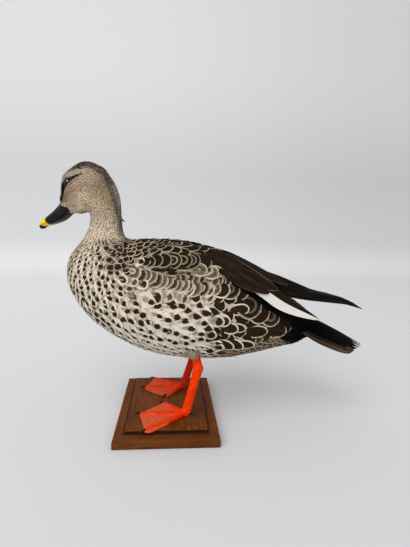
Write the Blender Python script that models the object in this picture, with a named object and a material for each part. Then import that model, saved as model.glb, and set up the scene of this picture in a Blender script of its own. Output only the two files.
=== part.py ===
"""Spot-billed duck, a mounted specimen on a moulded wooden base.

Metres, +Z up. The origin is the centre of the base's underside. The duck faces -X and
its left side faces -Y. Sizes below are in centimetres and are turned into metres where
a mesh is made.
"""

import math

import bmesh
import bpy
import numpy as np
from mathutils import Matrix, Vector

CM = 0.01
GAP = 0.03  # clear space between neighbouring nodes

# Base
BASE_WIDTH = 13.3
BASE_DEPTH = 19.3
FLANGE_HEIGHT = 1.05
BASE_HEIGHT = 1.72
PLATFORM_INSET = 1.49

# Trunk: station x, top z, bottom z, half width
TRUNK = (
    (-13.0, 23.4, 17.3, 2.8),
    (-12.0, 24.45, 15.6, 4.0),
    (-10.0, 25.05, 13.4, 5.1),
    (-7.0, 25.4, 11.3, 5.95),
    (-4.0, 25.05, 9.75, 6.3),
    (0.0, 25.15, 8.65, 6.45),
    (5.0, 24.4, 8.2, 6.25),
    (10.0, 22.5, 8.5, 5.5),
    (15.0, 18.9, 9.5, 4.0),
    (18.0, 16.5, 10.2, 3.0),
    (20.5, 14.9, 11.3, 2.1),
)
BREAST_X, BREAST_Z = -13.78, 20.6
RUMP_X, RUMP_Z = 21.6, 13.2

# Neck: height z, centre x, half length fore and aft, half width, sideways shift
NECK = (
    (21.0, -7.9, 4.9, 4.5, 0.0),
    (23.0, -8.5, 4.3, 3.9, 0.0),
    (24.6, -8.9, 3.3, 3.0, 0.0),
    (26.0, -8.75, 2.45, 2.35, 0.0),
    (28.0, -8.65, 2.12, 2.1, 0.05),
    (30.0, -8.9, 2.25, 2.1, 0.15),
    (32.0, -9.6, 2.4, 2.1, 0.3),
    (33.2, -10.1, 2.15, 1.8, 0.4),
)

# Head: turned away to the duck's right and tipped down towards the bill
HEAD_CENTRE = (-11.4, 0.45, 31.6)
HEAD_TURN = 22.0
HEAD_TIP = 30.0
# along the head, top, bottom, half width
HEAD = (
    (-3.3, 1.6, -1.3, 1.25),
    (-2.4, 2.8, -2.2, 1.85),
    (-1.1, 3.38, -3.0, 2.2),
    (0.6, 3.35, -3.0, 2.32),
    (1.8, 2.95, -2.45, 2.2),
    (3.2, 1.6, -1.9, 1.65),
    (4.1, 0.6, -1.7, 1.2),
)
HEAD_BACK = (-3.8, 0.2)
HEAD_FRONT = (4.4, -0.7)

# Bill, in the head's own frame: along, top, bottom, half width
UPPER_BILL = (
    (3.0, 0.9, -1.6, 1.0),
    (4.5, 0.32, -1.4, 0.98),
    (6.0, 0.06, -1.2, 0.93),
    (7.4, -0.1, -1.02, 1.05),
    (8.4, -0.28, -0.9, 1.08),
    (8.8, -0.48, -0.95, 0.75),
)
LOWER_BILL = (
    (2.8, -1.45, -1.95, 0.85),
    (4.5, -1.35, -1.85, 0.86),
    (6.0, -1.15, -1.55, 0.8),
    (7.4, -1.0, -1.25, 0.86),
    (8.2, -0.95, -1.12, 0.75),
)
BILL_TIP_FROM = 7.7
BILL_END = 9.02

# Eyes, in the head's own frame
EYE_PLACE = (0.95, 1.85, 1.65)
EYE_RADIUS = 0.46

# Folded wing of the left side: x, upper edge y z, lower edge y z, bulge, thickness
WING = (
    (-4.6, -5.2, 23.0, -6.0, 22.0, 0.15, 0.5),
    (-2.5, -4.0, 24.0, -6.65, 20.9, 0.45, 0.9),
    (0.5, -2.7, 24.6, -6.85, 20.6, 0.6, 1.0),
    (4.5, -1.7, 24.3, -6.75, 20.4, 0.75, 1.05),
    (8.0, -0.9, 23.3, -6.35, 20.0, 0.85, 1.05),
    (11.8, -0.8, 21.8, -5.5, 18.1, 0.8, 1.0),
    (14.6, -1.4, 19.8, -4.7, 16.0, 0.6, 0.8),
    (17.4, -2.2, 17.6, -4.1, 15.0, 0.3, 0.5),
    (20.0, -3.0, 15.6, -3.7, 14.6, 0.1, 0.25),
)
WING_TIP = (21.0, -3.4, 14.6)

# Folded flight feathers, crossing low over the rump
FLIGHT = (
    (10.0, -0.4, 22.65, -2.4, 20.4, 0.25, 0.6),
    (13.0, -0.3, 21.6, -2.7, 19.1, 0.3, 0.7),
    (16.0, -0.25, 20.45, -2.6, 18.1, 0.3, 0.7),
    (19.0, -0.25, 19.4, -2.3, 17.35, 0.25, 0.6),
    (22.0, -0.25, 18.25, -1.7, 17.2, 0.15, 0.45),
    (25.0, -0.25, 17.35, -1.0, 16.85, 0.05, 0.3),
    (27.0, -0.3, 16.6, -0.7, 16.25, 0.02, 0.18),
)
FLIGHT_TIP = (28.4, -0.5, 15.55)

# Tail fan: x, middle z, half width, drop of the edges, thickness
TAIL = (
    (18.5, 14.5, 1.6, 0.9, 1.7),
    (20.5, 14.2, 2.6, 2.1, 1.3),
    (22.5, 13.5, 3.6, 2.75, 0.75),
    (24.5, 12.45, 4.1, 2.1, 0.45),
    (26.5, 11.35, 3.3, 1.0, 0.3),
    (27.7, 10.55, 1.9, 0.35, 0.22),
)
TAIL_TIP = (28.5, 0.0, 9.75)

# Legs: place of foot joint, ankle, and top within the belly; radii along and across
LEFT_LEG = ((2.5, -5.15, 2.55), (4.05, -4.3, 8.15), (3.5, -3.2, 10.6))
RIGHT_LEG = ((2.45, 3.65, 2.55), (4.2, 3.7, 8.1), (3.5, 3.2, 10.6))

# Feet: length and bearing of each front toe from the foot joint (0 ahead, + to the left)
LEFT_TOES = ((5.0, -51.0), (6.3, -8.0), (6.4, 34.0))
RIGHT_TOES = ((6.2, -38.0), (6.2, -2.0), (3.9, 43.0))
WEB_MARGIN = 7.0  # degrees of skin outside the outer toes
WEB_THICKNESS = 0.16
FOOT_START = 0.35  # clear of the shank's middle
CLAW_LENGTH = 0.95
CLAW_ROOT = 0.35  # length of a claw that lies inside its toe
HIND_TOE_LENGTH = 1.9
HIND_TOE_SWING = 0.5  # radians off straight back


def smooth(keys, at):
    """Values at a position from rows of (position, values...), by a slope-limited cubic."""
    rows = np.array(keys, float)
    t, v = rows[:, 0], rows[:, 1:]
    step = np.diff(t)[:, None]
    rate = np.diff(v, axis=0) / step
    slope = np.zeros_like(v)
    slope[0], slope[-1] = rate[0], rate[-1]
    before, after = rate[:-1], rate[1:]
    same = before * after > 0
    mean = 2 * before * after / np.where(same, before + after, 1)
    slope[1:-1] = np.where(same, mean, 0)
    i = int(np.clip(np.searchsorted(t, at) - 1, 0, len(t) - 2))
    h = t[i + 1] - t[i]
    s = float(np.clip((at - t[i]) / h, 0, 1))
    a = (1 + 2 * s) * (1 - s) ** 2
    b = s * (1 - s) ** 2
    c = s * s * (3 - 2 * s)
    d = s * s * (s - 1)
    return a * v[i] + b * h * slope[i] + c * v[i + 1] + d * h * slope[i + 1]


def material(name, colour, roughness, metallic=0.0):
    made = bpy.data.materials.new(name)
    made.use_nodes = True
    shader = made.node_tree.nodes["Principled BSDF"]
    shader.inputs["Base Color"].default_value = (*colour, 1)
    shader.inputs["Roughness"].default_value = roughness
    shader.inputs["Metallic"].default_value = metallic
    return made


def add(name, points, faces, surface):
    mesh = bpy.data.meshes.new(name)
    mesh.from_pydata([tuple(CM * float(c) for c in p) for p in points], [], faces)
    shape = bmesh.new()
    shape.from_mesh(mesh)
    bmesh.ops.triangulate(shape, faces=shape.faces)
    bmesh.ops.recalc_face_normals(shape, faces=shape.faces)
    if shape.calc_volume(signed=True) < 0:
        bmesh.ops.reverse_faces(shape, faces=shape.faces)
    shape.to_mesh(mesh)
    shape.free()
    mesh.materials.append(surface)
    made = bpy.data.objects.new(name, mesh)
    bpy.context.scene.collection.objects.link(made)
    return made


def loft(name, rings, ends, surface):
    """A closed body through rings of equal count, closed to a point at each end."""
    count = len(rings[0])
    points = [p for ring in rings for p in ring] + list(ends)
    faces = []
    for r in range(len(rings) - 1):
        for k in range(count):
            n = (k + 1) % count
            a, b = r * count, (r + 1) * count
            faces.append((a + k, a + n, b + n, b + k))
    first, last = len(points) - 2, len(points) - 1
    top = (len(rings) - 1) * count
    for k in range(count):
        n = (k + 1) % count
        faces.append((first, n, k))
        faces.append((last, top + k, top + n))
    return add(name, points, faces, surface)


def helper(obj):
    obj.hide_render = True
    obj.display_type = "WIRE"
    return obj


def cut(obj, tool):
    modifier = obj.modifiers.new("cut " + tool.name, "BOOLEAN")
    modifier.operation = "DIFFERENCE"
    modifier.solver = "EXACT"
    modifier.object = tool
    return obj


def join(obj, other):
    modifier = obj.modifiers.new("join " + other.name, "BOOLEAN")
    modifier.operation = "UNION"
    modifier.solver = "EXACT"
    modifier.object = other
    helper(other)
    return obj


def oval(angle, power=2.0):
    """A point of a unit superellipse: (sideways, upwards)."""
    c, s = math.cos(angle), math.sin(angle)
    return (
        math.copysign(abs(c) ** (2 / power), c),
        math.copysign(abs(s) ** (2 / power), s),
    )


def ring_angles(count):
    return [2 * math.pi * (k + 0.5) / count for k in range(count)]


def spread(first, last, count):
    """Positions that crowd towards both ends."""
    return [
        first + (last - first) * (0.5 - 0.5 * math.cos(math.pi * (k + 0.6) / (count + 0.2)))
        for k in range(count)
    ]


# ---------------------------------------------------------------- the duck's body


def trunk_section(x):
    """Top, bottom and half width of the trunk at x, rounded off at breast and rump."""
    first, last = TRUNK[0][0], TRUNK[-1][0]
    top, bottom, half = smooth(TRUNK, min(max(x, first), last))
    if x < first:
        share = (x - BREAST_X) / (first - BREAST_X)
        round_off = math.sqrt(max(0.0, 1 - (1 - share) ** 2))
        middle = BREAST_Z
        top, bottom = middle + (top - middle) * round_off, middle + (bottom - middle) * round_off
        half = half * round_off
    if x > last:
        share = (RUMP_X - x) / (RUMP_X - last)
        round_off = math.sqrt(max(0.0, 1 - (1 - share) ** 2))
        middle = RUMP_Z
        top, bottom = middle + (top - middle) * round_off, middle + (bottom - middle) * round_off
        half = half * round_off
    return top, bottom, half


def trunk(name, grow, surface, stations=27, around=24):
    rings = []
    for x in spread(BREAST_X, RUMP_X, stations):
        top, bottom, half = trunk_section(x)
        middle = bottom + 0.52 * (top - bottom)
        ring = []
        for angle in ring_angles(around):
            side, up = oval(angle, 2.15)
            tall = (top - middle if up > 0 else middle - bottom) + grow
            ring.append((x, (half + grow) * side, middle + tall * up))
        rings.append(ring)
    ends = ((BREAST_X - grow, 0, BREAST_Z), (RUMP_X + grow, 0, RUMP_Z))
    return loft(name, rings, ends, surface)


def neck(name, grow, surface, stations=12, around=22):
    rings = []
    low, high = NECK[0][0], NECK[-1][0]
    for k in range(stations):
        z = low + (high - low) * k / (stations - 1)
        x, length, width, shift = smooth(NECK, z)
        ring = []
        for angle in ring_angles(around):
            side, fore = oval(angle, 2.05)
            ring.append((x + (length + grow) * fore, shift + (width + grow) * side, z))
        rings.append(ring)
    x, _, _, shift = smooth(NECK, high)
    ends = ((NECK[0][1], 0, low - 0.5), (x, shift, high + 0.5 + grow))
    return loft(name, rings, ends, surface)


def head_frame():
    """Forward, left and up of the head as columns, and its centre."""
    turn, tip = math.radians(HEAD_TURN), math.radians(HEAD_TIP)
    forward = Vector((-math.cos(turn) * math.cos(tip), math.sin(turn) * math.cos(tip), -math.sin(tip)))
    left = Vector((-math.sin(turn), -math.cos(turn), 0))
    up = forward.cross(left)
    turned = Matrix((forward, left, up)).transposed()
    return turned, Vector(HEAD_CENTRE)


def on_head(along, side, up):
    turned, centre = head_frame()
    return centre + turned @ Vector((along, side, up))


def head(name, grow, surface, stations=19, around=24):
    rings = []
    first, last = HEAD[0][0], HEAD[-1][0]
    for u in spread(HEAD_BACK[0], HEAD_FRONT[0], stations):
        top, bottom, half = smooth(HEAD, min(max(u, first), last))
        if u < first:
            share = (u - HEAD_BACK[0]) / (first - HEAD_BACK[0])
            ease = math.sqrt(max(0.0, 1 - (1 - share) ** 2))
            middle = HEAD_BACK[1]
            top, bottom = middle + (top - middle) * ease, middle + (bottom - middle) * ease
            half *= ease
        if u > last:
            share = (HEAD_FRONT[0] - u) / (HEAD_FRONT[0] - last)
            ease = math.sqrt(max(0.0, 1 - (1 - share) ** 2))
            middle = HEAD_FRONT[1]
            top, bottom = middle + (top - middle) * ease, middle + (bottom - middle) * ease
            half *= ease
        middle = bottom + 0.48 * (top - bottom)
        ring = []
        for angle in ring_angles(around):
            side, up = oval(angle, 2.35)
            tall = (top - middle if up > 0 else middle - bottom) + grow
            narrow = 1 - 0.12 * max(0, up)
            ring.append(on_head(u, (half + grow) * side * narrow, middle + tall * up))
        rings.append(ring)
    ends = (on_head(HEAD_BACK[0] - grow, 0, HEAD_BACK[1]), on_head(HEAD_FRONT[0] + grow, 0, HEAD_FRONT[1]))
    return loft(name, rings, ends, surface)


def span(keys, first, last, count):
    """Positions from first to last, and the section at each."""
    made = []
    for k in range(count):
        at = first + (last - first) * k / (count - 1)
        low, high = keys[0][0], keys[-1][0]
        values = smooth(keys, min(max(at, low), high))
        if at > high:
            share = (BILL_END - at) / (BILL_END - high)
            ease = 0.25 + 0.75 * math.sqrt(max(0.0, 1 - (1 - share) ** 2))
            top, bottom, half = values
            middle = 0.5 * (top + bottom)
            values = (middle + (top - middle) * ease, middle + (bottom - middle) * ease, half * ease)
        made.append((at, *values))
    return made


def bill(name, keys, first, last, grow, surface, stations, around=18, power=2.6):
    rings = []
    for at, top, bottom, half in span(keys, first - grow, last + grow, stations):
        middle = bottom + 0.25 * (top - bottom)
        ring = []
        for angle in ring_angles(around):
            side, up = oval(angle, power)
            tall = (top - middle if up > 0 else middle - bottom) + grow
            narrow = 1 - 0.35 * max(0, up) ** 2
            ring.append(on_head(at, (half + grow) * side * narrow, middle + tall * up))
        rings.append(ring)
    _, top, bottom, _ = span(keys, first - grow, first, 2)[0]
    start = on_head(first - grow, 0, 0.5 * (top + bottom))
    _, top, bottom, _ = span(keys, last, last + grow + 1e-6, 2)[1]
    end = on_head(last + grow, 0, 0.5 * (top + bottom))
    return loft(name, rings, (start, end), surface)


def ball(name, middle, radius, surface, stations=7, around=14):
    rings = []
    for k in range(stations):
        angle = math.pi * (k + 1) / (stations + 1)
        ring = []
        for turn in ring_angles(around):
            out = radius * math.sin(angle)
            offset = (out * math.cos(turn), out * math.sin(turn), radius * math.cos(angle))
            ring.append([middle[i] + offset[i] for i in range(3)])
        rings.append(ring)
    x, y, z = middle
    return loft(name, rings, ((x, y, z + radius), (x, y, z - radius)), surface)


def blade(name, keys, tip, side, grow, surface, stations=16, around=18):
    """A folded wing's curved blade, in sections across X; side is -1 for left, 1 for right."""
    rings = []
    first, last = keys[0][0], keys[-1][0]
    for k in range(stations):
        x = first + (last - first) * k / (stations - 1)
        upper_y, upper_z, lower_y, lower_z, bulge, thick = smooth(keys, x)
        across = np.array([lower_y - upper_y, lower_z - upper_z])
        length = np.linalg.norm(across)
        across = across / length
        out = np.array([across[1], -across[0]])
        centre = np.array([0.5 * (upper_y + lower_y), 0.5 * (upper_z + lower_z)])
        ring = []
        for angle in ring_angles(around):
            run, rise = oval(angle, 2.3)
            arch = bulge * (1 - run * run)
            spot = centre + across * run * (0.5 * length + grow)
            spot = spot + out * (arch + rise * (0.5 * thick + grow))
            ring.append((x, -side * spot[0], spot[1]))
        rings.append(ring)
    x, upper_y, upper_z, lower_y, lower_z, bulge, thick = keys[0]
    start = (x - 0.3 - grow, -side * 0.5 * (upper_y + lower_y), 0.5 * (upper_z + lower_z))
    end = (tip[0] + grow, -side * tip[1], tip[2])
    return loft(name, rings, (start, end), surface)


def tail(name, grow, surface, stations=11, around=22):
    rings = []
    first, last = TAIL[0][0], TAIL[-1][0]
    for k in range(stations):
        x = first + (last - first) * k / (stations - 1)
        middle, half, drop, thick = smooth(TAIL, x)
        ring = []
        for angle in ring_angles(around):
            run, rise = oval(angle, 2.4)
            z = middle - drop * run * run - 0.5 * thick + rise * (0.5 * thick + grow)
            ring.append((x, (half + grow) * run, z))
        rings.append(ring)
    ends = ((first - 0.3, 0, TAIL[0][1] - 0.8), TAIL_TIP)
    return loft(name, rings, ends, surface)


def leg(name, joints, grow, surface, around=14):
    """Foot joint, shank, ankle and the feathered top, as one bent limb."""
    foot, ankle, top = (Vector(j) for j in joints)
    marks = (
        (foot + Vector((0.0, 0, -0.55)), 0.5, 0.4),
        (foot, 0.62, 0.5),
        (foot.lerp(ankle, 0.12), 0.6, 0.42),
        (foot.lerp(ankle, 0.35), 0.53, 0.36),
        (foot.lerp(ankle, 0.65), 0.55, 0.38),
        (foot.lerp(ankle, 0.86), 0.66, 0.46),
        (ankle, 0.7, 0.5),
        (ankle.lerp(top, 0.3), 0.66, 0.5),
        (ankle.lerp(top, 0.65), 0.7, 0.62),
        (top, 0.8, 0.7),
    )
    rings = []
    for place, along, across in marks:
        ring = []
        for angle in ring_angles(around):
            fore = (along + grow) * math.cos(angle)
            wide = (across + grow) * math.sin(angle)
            ring.append(place + Vector((fore, wide, 0)))
        rings.append(ring)
    ends = (marks[0][0] - Vector((0, 0, 0.05 + grow)), top + Vector((0, 0, 0.3)))
    return loft(name, rings, ends, surface)


def horn_cone(name, start, ahead, length, thick, surface, around=8):
    """A short curved cone: a claw or the small hind toe."""
    rings = []
    for k in range(4):
        share = k / 4
        radius = thick * (1 - 0.75 * share * share)
        drop = 0.35 * length * share * share
        room = start.z - BASE_HEIGHT - GAP - radius
        centre = start + ahead * length * share - Vector((0, 0, min(drop, room)))
        across = Vector((-ahead.y, ahead.x, 0))
        ring = []
        for angle in ring_angles(around):
            rise = Vector((0, 0, radius * math.sin(angle)))
            ring.append(centre + across * radius * math.cos(angle) + rise)
        rings.append(ring)
    tip = start + ahead * length
    tip.z = BASE_HEIGHT + GAP + 0.08
    return loft(name, rings, (start - ahead * 0.15, tip), surface)


def foot(name, joint, toes, surface, steps=6, turns=24):
    """Webbed foot: toes as ridges on a thin web, flat underneath."""
    floor = BASE_HEIGHT + GAP
    lengths = [t[0] for t in toes]
    bearings = [t[1] for t in toes]
    low, high = bearings[0] - WEB_MARGIN, bearings[-1] + WEB_MARGIN
    top, under = [], []
    for k in range(turns + 1):
        bearing = low + (high - low) * k / turns
        nearest = min(range(3), key=lambda i: abs(bearings[i] - bearing))
        off = bearing - bearings[nearest]
        if bearing <= bearings[0]:
            reach = lengths[0] * (1 - 0.1 * (off / WEB_MARGIN) ** 2)
        elif bearing >= bearings[2]:
            reach = lengths[2] * (1 - 0.1 * (off / WEB_MARGIN) ** 2)
        else:
            i = 0 if bearing < bearings[1] else 1
            s = (bearing - bearings[i]) / (bearings[i + 1] - bearings[i])
            reach = lengths[i] + (lengths[i + 1] - lengths[i]) * s
            reach *= 1 - 0.5 * s * (1 - s)
        ahead, aside = -math.cos(math.radians(bearing)), -math.sin(math.radians(bearing))
        for r in range(steps + 1):
            out = FOOT_START + (reach - FOOT_START) * r / steps
            share = out / lengths[nearest]
            away = abs(math.sin(math.radians(off))) * out
            toe_width = 0.46 - 0.14 * min(1.0, share)
            ridge = max(0.0, 1 - (away / toe_width) ** 2) ** 0.5
            toe_height = 0.95 - 0.62 * min(1.0, share) ** 0.7
            height = WEB_THICKNESS + ridge * max(0.0, toe_height - WEB_THICKNESS)
            if r == steps:
                height *= 0.6
            x, y = joint[0] + ahead * out, joint[1] + aside * out
            top.append((x, y, floor + height))
            under.append((x, y, floor))
    rows = steps + 1
    count = (turns + 1) * rows
    faces = []
    for k in range(turns):
        for r in range(steps):
            a, b = k * rows + r, (k + 1) * rows + r
            faces.append((a, a + 1, b + 1, b))
            faces.append((count + a, count + b, count + b + 1, count + a + 1))
        a, b = k * rows, (k + 1) * rows
        faces.append((a, b, count + b, count + a))
        a, b = a + steps, b + steps
        faces.append((b, a, count + a, count + b))
    for r in range(steps):
        a = turns * rows + r
        faces.append((r + 1, r, count + r, count + r + 1))
        faces.append((a, a + 1, count + a + 1, count + a))
    return add(name, top + under, faces, surface)


def base(name, surface):
    """Moulded board: square flange, shallow cove, and a raised platform with a small step."""
    profile = (
        (0.06, 0.0),
        (0.0, 0.06),
        (0.0, FLANGE_HEIGHT - 0.07),
        (0.07, FLANGE_HEIGHT),
        (0.55, FLANGE_HEIGHT + 0.04),
        (1.0, FLANGE_HEIGHT + 0.1),
        (PLATFORM_INSET - 0.08, FLANGE_HEIGHT + 0.16),
        (PLATFORM_INSET - 0.04, BASE_HEIGHT - 0.06),
        (PLATFORM_INSET + 0.03, BASE_HEIGHT),
    )
    rings = []
    for inset, z in profile:
        x, y = 0.5 * BASE_WIDTH - inset, 0.5 * BASE_DEPTH - inset
        rings.append(((-x, -y, z), (x, -y, z), (x, y, z), (-x, y, z)))
    points = [p for ring in rings for p in ring]
    faces = [(3, 2, 1, 0)]
    for r in range(len(rings) - 1):
        for k in range(4):
            n = (k + 1) % 4
            a, b = 4 * r, 4 * (r + 1)
            faces.append((a + k, a + n, b + n, b + k))
    last = 4 * (len(rings) - 1)
    faces.append((last, last + 1, last + 2, last + 3))
    return add(name, points, faces, surface)


for old in list(bpy.data.objects):
    bpy.data.objects.remove(old, do_unlink=True)

coat = material("spotted plumage", (0.45, 0.36, 0.27), 0.85)
face = material("pale face plumage", (0.5, 0.4, 0.3), 0.85)
dark = material("dark brown plumage", (0.06, 0.045, 0.035), 0.7)
black = material("black plumage", (0.02, 0.018, 0.016), 0.6)
horn = material("black bill", (0.015, 0.015, 0.018), 0.3)
yellow = material("yellow bill tip", (0.75, 0.52, 0.02), 0.35)
glass = material("dark brown glass", (0.02, 0.012, 0.008), 0.05)
skin = material("orange red leg skin", (0.75, 0.12, 0.02), 0.5)
wood = material("stained wood", (0.2, 0.09, 0.045), 0.45)

base("base", wood)
trunk("trunk", 0, coat)
trunk_space = helper(trunk("trunk_space", GAP, coat))
neck_space = helper(neck("neck_space", GAP, coat))
head_space = helper(head("head_space", GAP, face))

cut(neck("neck", 0, face), trunk_space)
cut(head("head", 0, face), neck_space)

upper = bill("bill_upper", UPPER_BILL, 3.0, BILL_TIP_FROM, 0, horn, 8)
cut(upper, head_space)
bill("bill_tip", UPPER_BILL, BILL_TIP_FROM + GAP, BILL_END, 0, yellow, 6)
bill_space = helper(bill("bill_space", UPPER_BILL, 2.9, BILL_END, GAP, horn, 12))
lower = bill("bill_lower", LOWER_BILL, 3.0, 8.65, 0, horn, 9)
cut(lower, head_space)
cut(lower, bill_space)

def make_eye(side, word):
    along, out, up = EYE_PLACE
    eye = ball("eye_" + word, on_head(along, -side * out, up), EYE_RADIUS, glass)
    cut(eye, head_space)


def make_wing(side, word):
    flight_space = helper(blade("flight_space_" + word, FLIGHT, FLIGHT_TIP, side, GAP, dark))
    wing = blade("wing_" + word, WING, WING_TIP, side, 0, dark)
    cut(wing, trunk_space)
    cut(wing, flight_space)
    flight = blade("flight_feathers_" + word, FLIGHT, FLIGHT_TIP, side, 0, black, 12, 14)
    cut(flight, trunk_space)


def make_leg(side, word, joints, toes):
    """The limb, its webbed foot, the three claws and the hind toe."""
    limb = leg("leg_" + word, joints, 0, skin)
    cut(limb, trunk_space)
    leg_space = helper(leg("leg_space_" + word, joints, GAP, skin))
    paw = foot("foot_" + word, joints[0], toes, skin)
    x, y, _ = joints[0]
    floor = BASE_HEIGHT + GAP
    for number, (length, bearing) in enumerate(toes):
        turn = math.radians(bearing)
        ahead = Vector((-math.cos(turn), -math.sin(turn), 0))
        start = Vector((x, y, floor + 0.21)) + ahead * (length - CLAW_ROOT)
        name = f"claw_{word}_{number}"
        join(paw, horn_cone(name, start, ahead, CLAW_LENGTH + CLAW_ROOT, 0.17, horn))
    behind = Vector((math.cos(HIND_TOE_SWING), -side * 0.6 * math.sin(HIND_TOE_SWING), 0)).normalized()
    start = Vector((x, y, floor + 0.3)) - behind * 0.45
    join(paw, horn_cone("hind_toe_" + word, start, behind, HIND_TOE_LENGTH, 0.26, skin))
    cut(paw, leg_space)


for side, word, joints, toes in ((-1, "left", LEFT_LEG, LEFT_TOES), (1, "right", RIGHT_LEG, RIGHT_TOES)):
    make_eye(side, word)
    make_wing(side, word)
    make_leg(side, word, joints, toes)

fan = tail("tail", 0, black)
cut(fan, trunk_space)
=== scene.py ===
import math

import bmesh
import bpy
import numpy as np
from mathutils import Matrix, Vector
from mathutils.bvhtree import BVHTree
from mathutils.kdtree import KDTree


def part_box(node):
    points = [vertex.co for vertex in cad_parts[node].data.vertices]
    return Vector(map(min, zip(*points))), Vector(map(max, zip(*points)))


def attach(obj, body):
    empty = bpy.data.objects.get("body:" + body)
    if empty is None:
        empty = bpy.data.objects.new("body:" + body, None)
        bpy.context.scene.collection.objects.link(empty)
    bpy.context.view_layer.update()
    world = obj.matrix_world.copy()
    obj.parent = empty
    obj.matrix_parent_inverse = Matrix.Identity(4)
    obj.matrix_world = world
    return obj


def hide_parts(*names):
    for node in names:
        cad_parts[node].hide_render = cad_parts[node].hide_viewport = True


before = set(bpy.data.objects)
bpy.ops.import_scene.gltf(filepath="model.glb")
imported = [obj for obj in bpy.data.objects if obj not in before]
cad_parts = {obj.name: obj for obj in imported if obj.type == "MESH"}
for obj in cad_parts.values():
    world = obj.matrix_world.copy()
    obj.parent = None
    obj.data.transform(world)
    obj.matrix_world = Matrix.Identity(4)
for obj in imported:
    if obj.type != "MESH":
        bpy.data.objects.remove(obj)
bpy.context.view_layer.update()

# Lengths below are in centimetres, in the frame's axes: the duck faces -X, its left side is -Y.
CM = 0.01
chance = np.random.default_rng(11)
scene = bpy.context.scene


# -------------------------------------------------- small helpers

def unit(v):
    return v / np.maximum(np.linalg.norm(v, axis=-1, keepdims=True), 1e-9)


def ramp(low, high, x):
    """0 below low, 1 above high, smooth between."""
    t = np.clip((x - low) / (high - low), 0, 1)
    return t * t * (3 - 2 * t)


def hump(x, middle, width):
    return np.exp(-(((x - middle) / width) ** 2))


def mix(a, b, share):
    share = np.asarray(share)[..., None]
    return np.asarray(a) * (1 - share) + np.asarray(b) * share


def layered(start, *layers):
    """The start with each (mask, value) laid over it in turn."""
    for mask, value in layers:
        start = mix(start, value, mask)
    return start


def circle(count):
    """Even angles round a full turn."""
    return np.linspace(0, 2 * math.pi, count + 1)[:-1]


def mesh_of(name, points, faces):
    """A smooth mesh from points in centimetres and equal-sided faces."""
    faces = np.asarray(faces, np.int32)
    mesh = bpy.data.meshes.new(name)
    mesh.vertices.add(len(points))
    mesh.vertices.foreach_set("co", (np.asarray(points) * CM).astype(np.float32).ravel())
    mesh.loops.add(faces.size)
    mesh.loops.foreach_set("vertex_index", faces.ravel())
    mesh.polygons.add(len(faces))
    mesh.polygons.foreach_set("loop_start", np.arange(0, faces.size, faces.shape[1], dtype=np.int32))
    mesh.update(calc_edges=True)
    mesh.shade_smooth()
    return mesh


def add_uv(mesh, name, uv):
    corner = np.empty(len(mesh.loops), np.int32)
    mesh.loops.foreach_get("vertex_index", corner)
    layer = mesh.uv_layers.new(name=name)
    layer.uv.foreach_set("vector", uv[corner].astype(np.float32).ravel())


def add_data(mesh, name, values):
    """A value or colour for each point, for the materials to read."""
    values = np.asarray(values, np.float32)
    kind, field = ("FLOAT", "value") if values.ndim == 1 else ("FLOAT_VECTOR", "vector")
    mesh.attributes.new(name, kind, "POINT").data.foreach_set(field, values.ravel())


def placed(name, data):
    thing = bpy.data.objects.new(name, data)
    scene.collection.objects.link(thing)
    return thing


def piece(name, mesh, surface, slot, *nodes):
    """A visible piece with its material, put under the root, standing for the nodes, which are hidden; the
    slot is not used.
    """
    thing = placed(name, mesh)
    mesh.materials.append(surface)
    if nodes:
        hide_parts(*nodes)
    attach(thing, "root")


TURNED_OVER = [0, 3, 2, 1]


def grid_faces(cell):
    """Quads between the neighbours in a grid of point numbers."""
    return np.stack([cell[:-1, :-1], cell[:-1, 1:], cell[1:, 1:], cell[1:, :-1]], -1).reshape(-1, 4)


def joined_round(cell):
    """The grid with its first column again at the end."""
    return np.hstack([cell, cell[:, :1]])


def tube(rings, start=None, end=None):
    """Points and faces of a tube through rings of points, closed to a point at an end that is given."""
    rings = np.asarray(rings, float)
    count, around = rings.shape[:2]
    points = rings.reshape(-1, 3)
    cell = np.arange(count * around).reshape(count, around)
    faces = grid_faces(joined_round(cell)).tolist()
    for at, row, turned in ((start, 0, True), (end, -1, False)):
        if at is None:
            continue
        ring = cell[row].tolist()
        for a, b in zip(ring, ring[1:] + ring[:1]):
            faces.append([len(points), b, a] if turned else [len(points), a, b])
        points = np.concatenate([points, np.asarray(at, float)[None]])
    return points, faces


def mesh_from(name, points, faces, smooth=True):
    """A mesh from points in centimetres and any faces, which are turned to agree with each other."""
    mesh = bpy.data.meshes.new(name)
    mesh.from_pydata((np.asarray(points, float) * CM).tolist(), [], faces)
    mesh.update()
    bm = bmesh.new()
    bm.from_mesh(mesh)
    bmesh.ops.recalc_face_normals(bm, faces=bm.faces)
    bm.to_mesh(mesh)
    bm.free()
    if smooth:
        mesh.shade_smooth()
    return mesh


def spline(keys, t):
    """Catmull-Rom values of keys (count, stations, values) at shares t of the way."""
    last = keys.shape[1] - 1
    at = np.clip(t, 0, 1) * last
    i = np.minimum(at.astype(int), last - 1)
    f = (at - i)[None, :, None]
    b, c = keys[:, i], keys[:, i + 1]
    a = np.where((i > 0)[None, :, None], keys[:, np.maximum(i - 1, 0)], 2 * b - c)
    d = np.where((i + 2 <= last)[None, :, None], keys[:, np.minimum(i + 2, last)], 2 * c - b)
    cubed = (3 * b - a - 3 * c + d) * f ** 3
    return 0.5 * (2 * b + (c - a) * f + (2 * a - 5 * b + 4 * c - d) * f * f + cubed)


def smooth_keys(keys, count):
    """Rows of keys, made finer on a smooth line through them."""
    return spline(np.asarray(keys, float)[None], np.linspace(0, 1, count))[0]


# -------------------------------------------------- materials

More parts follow.
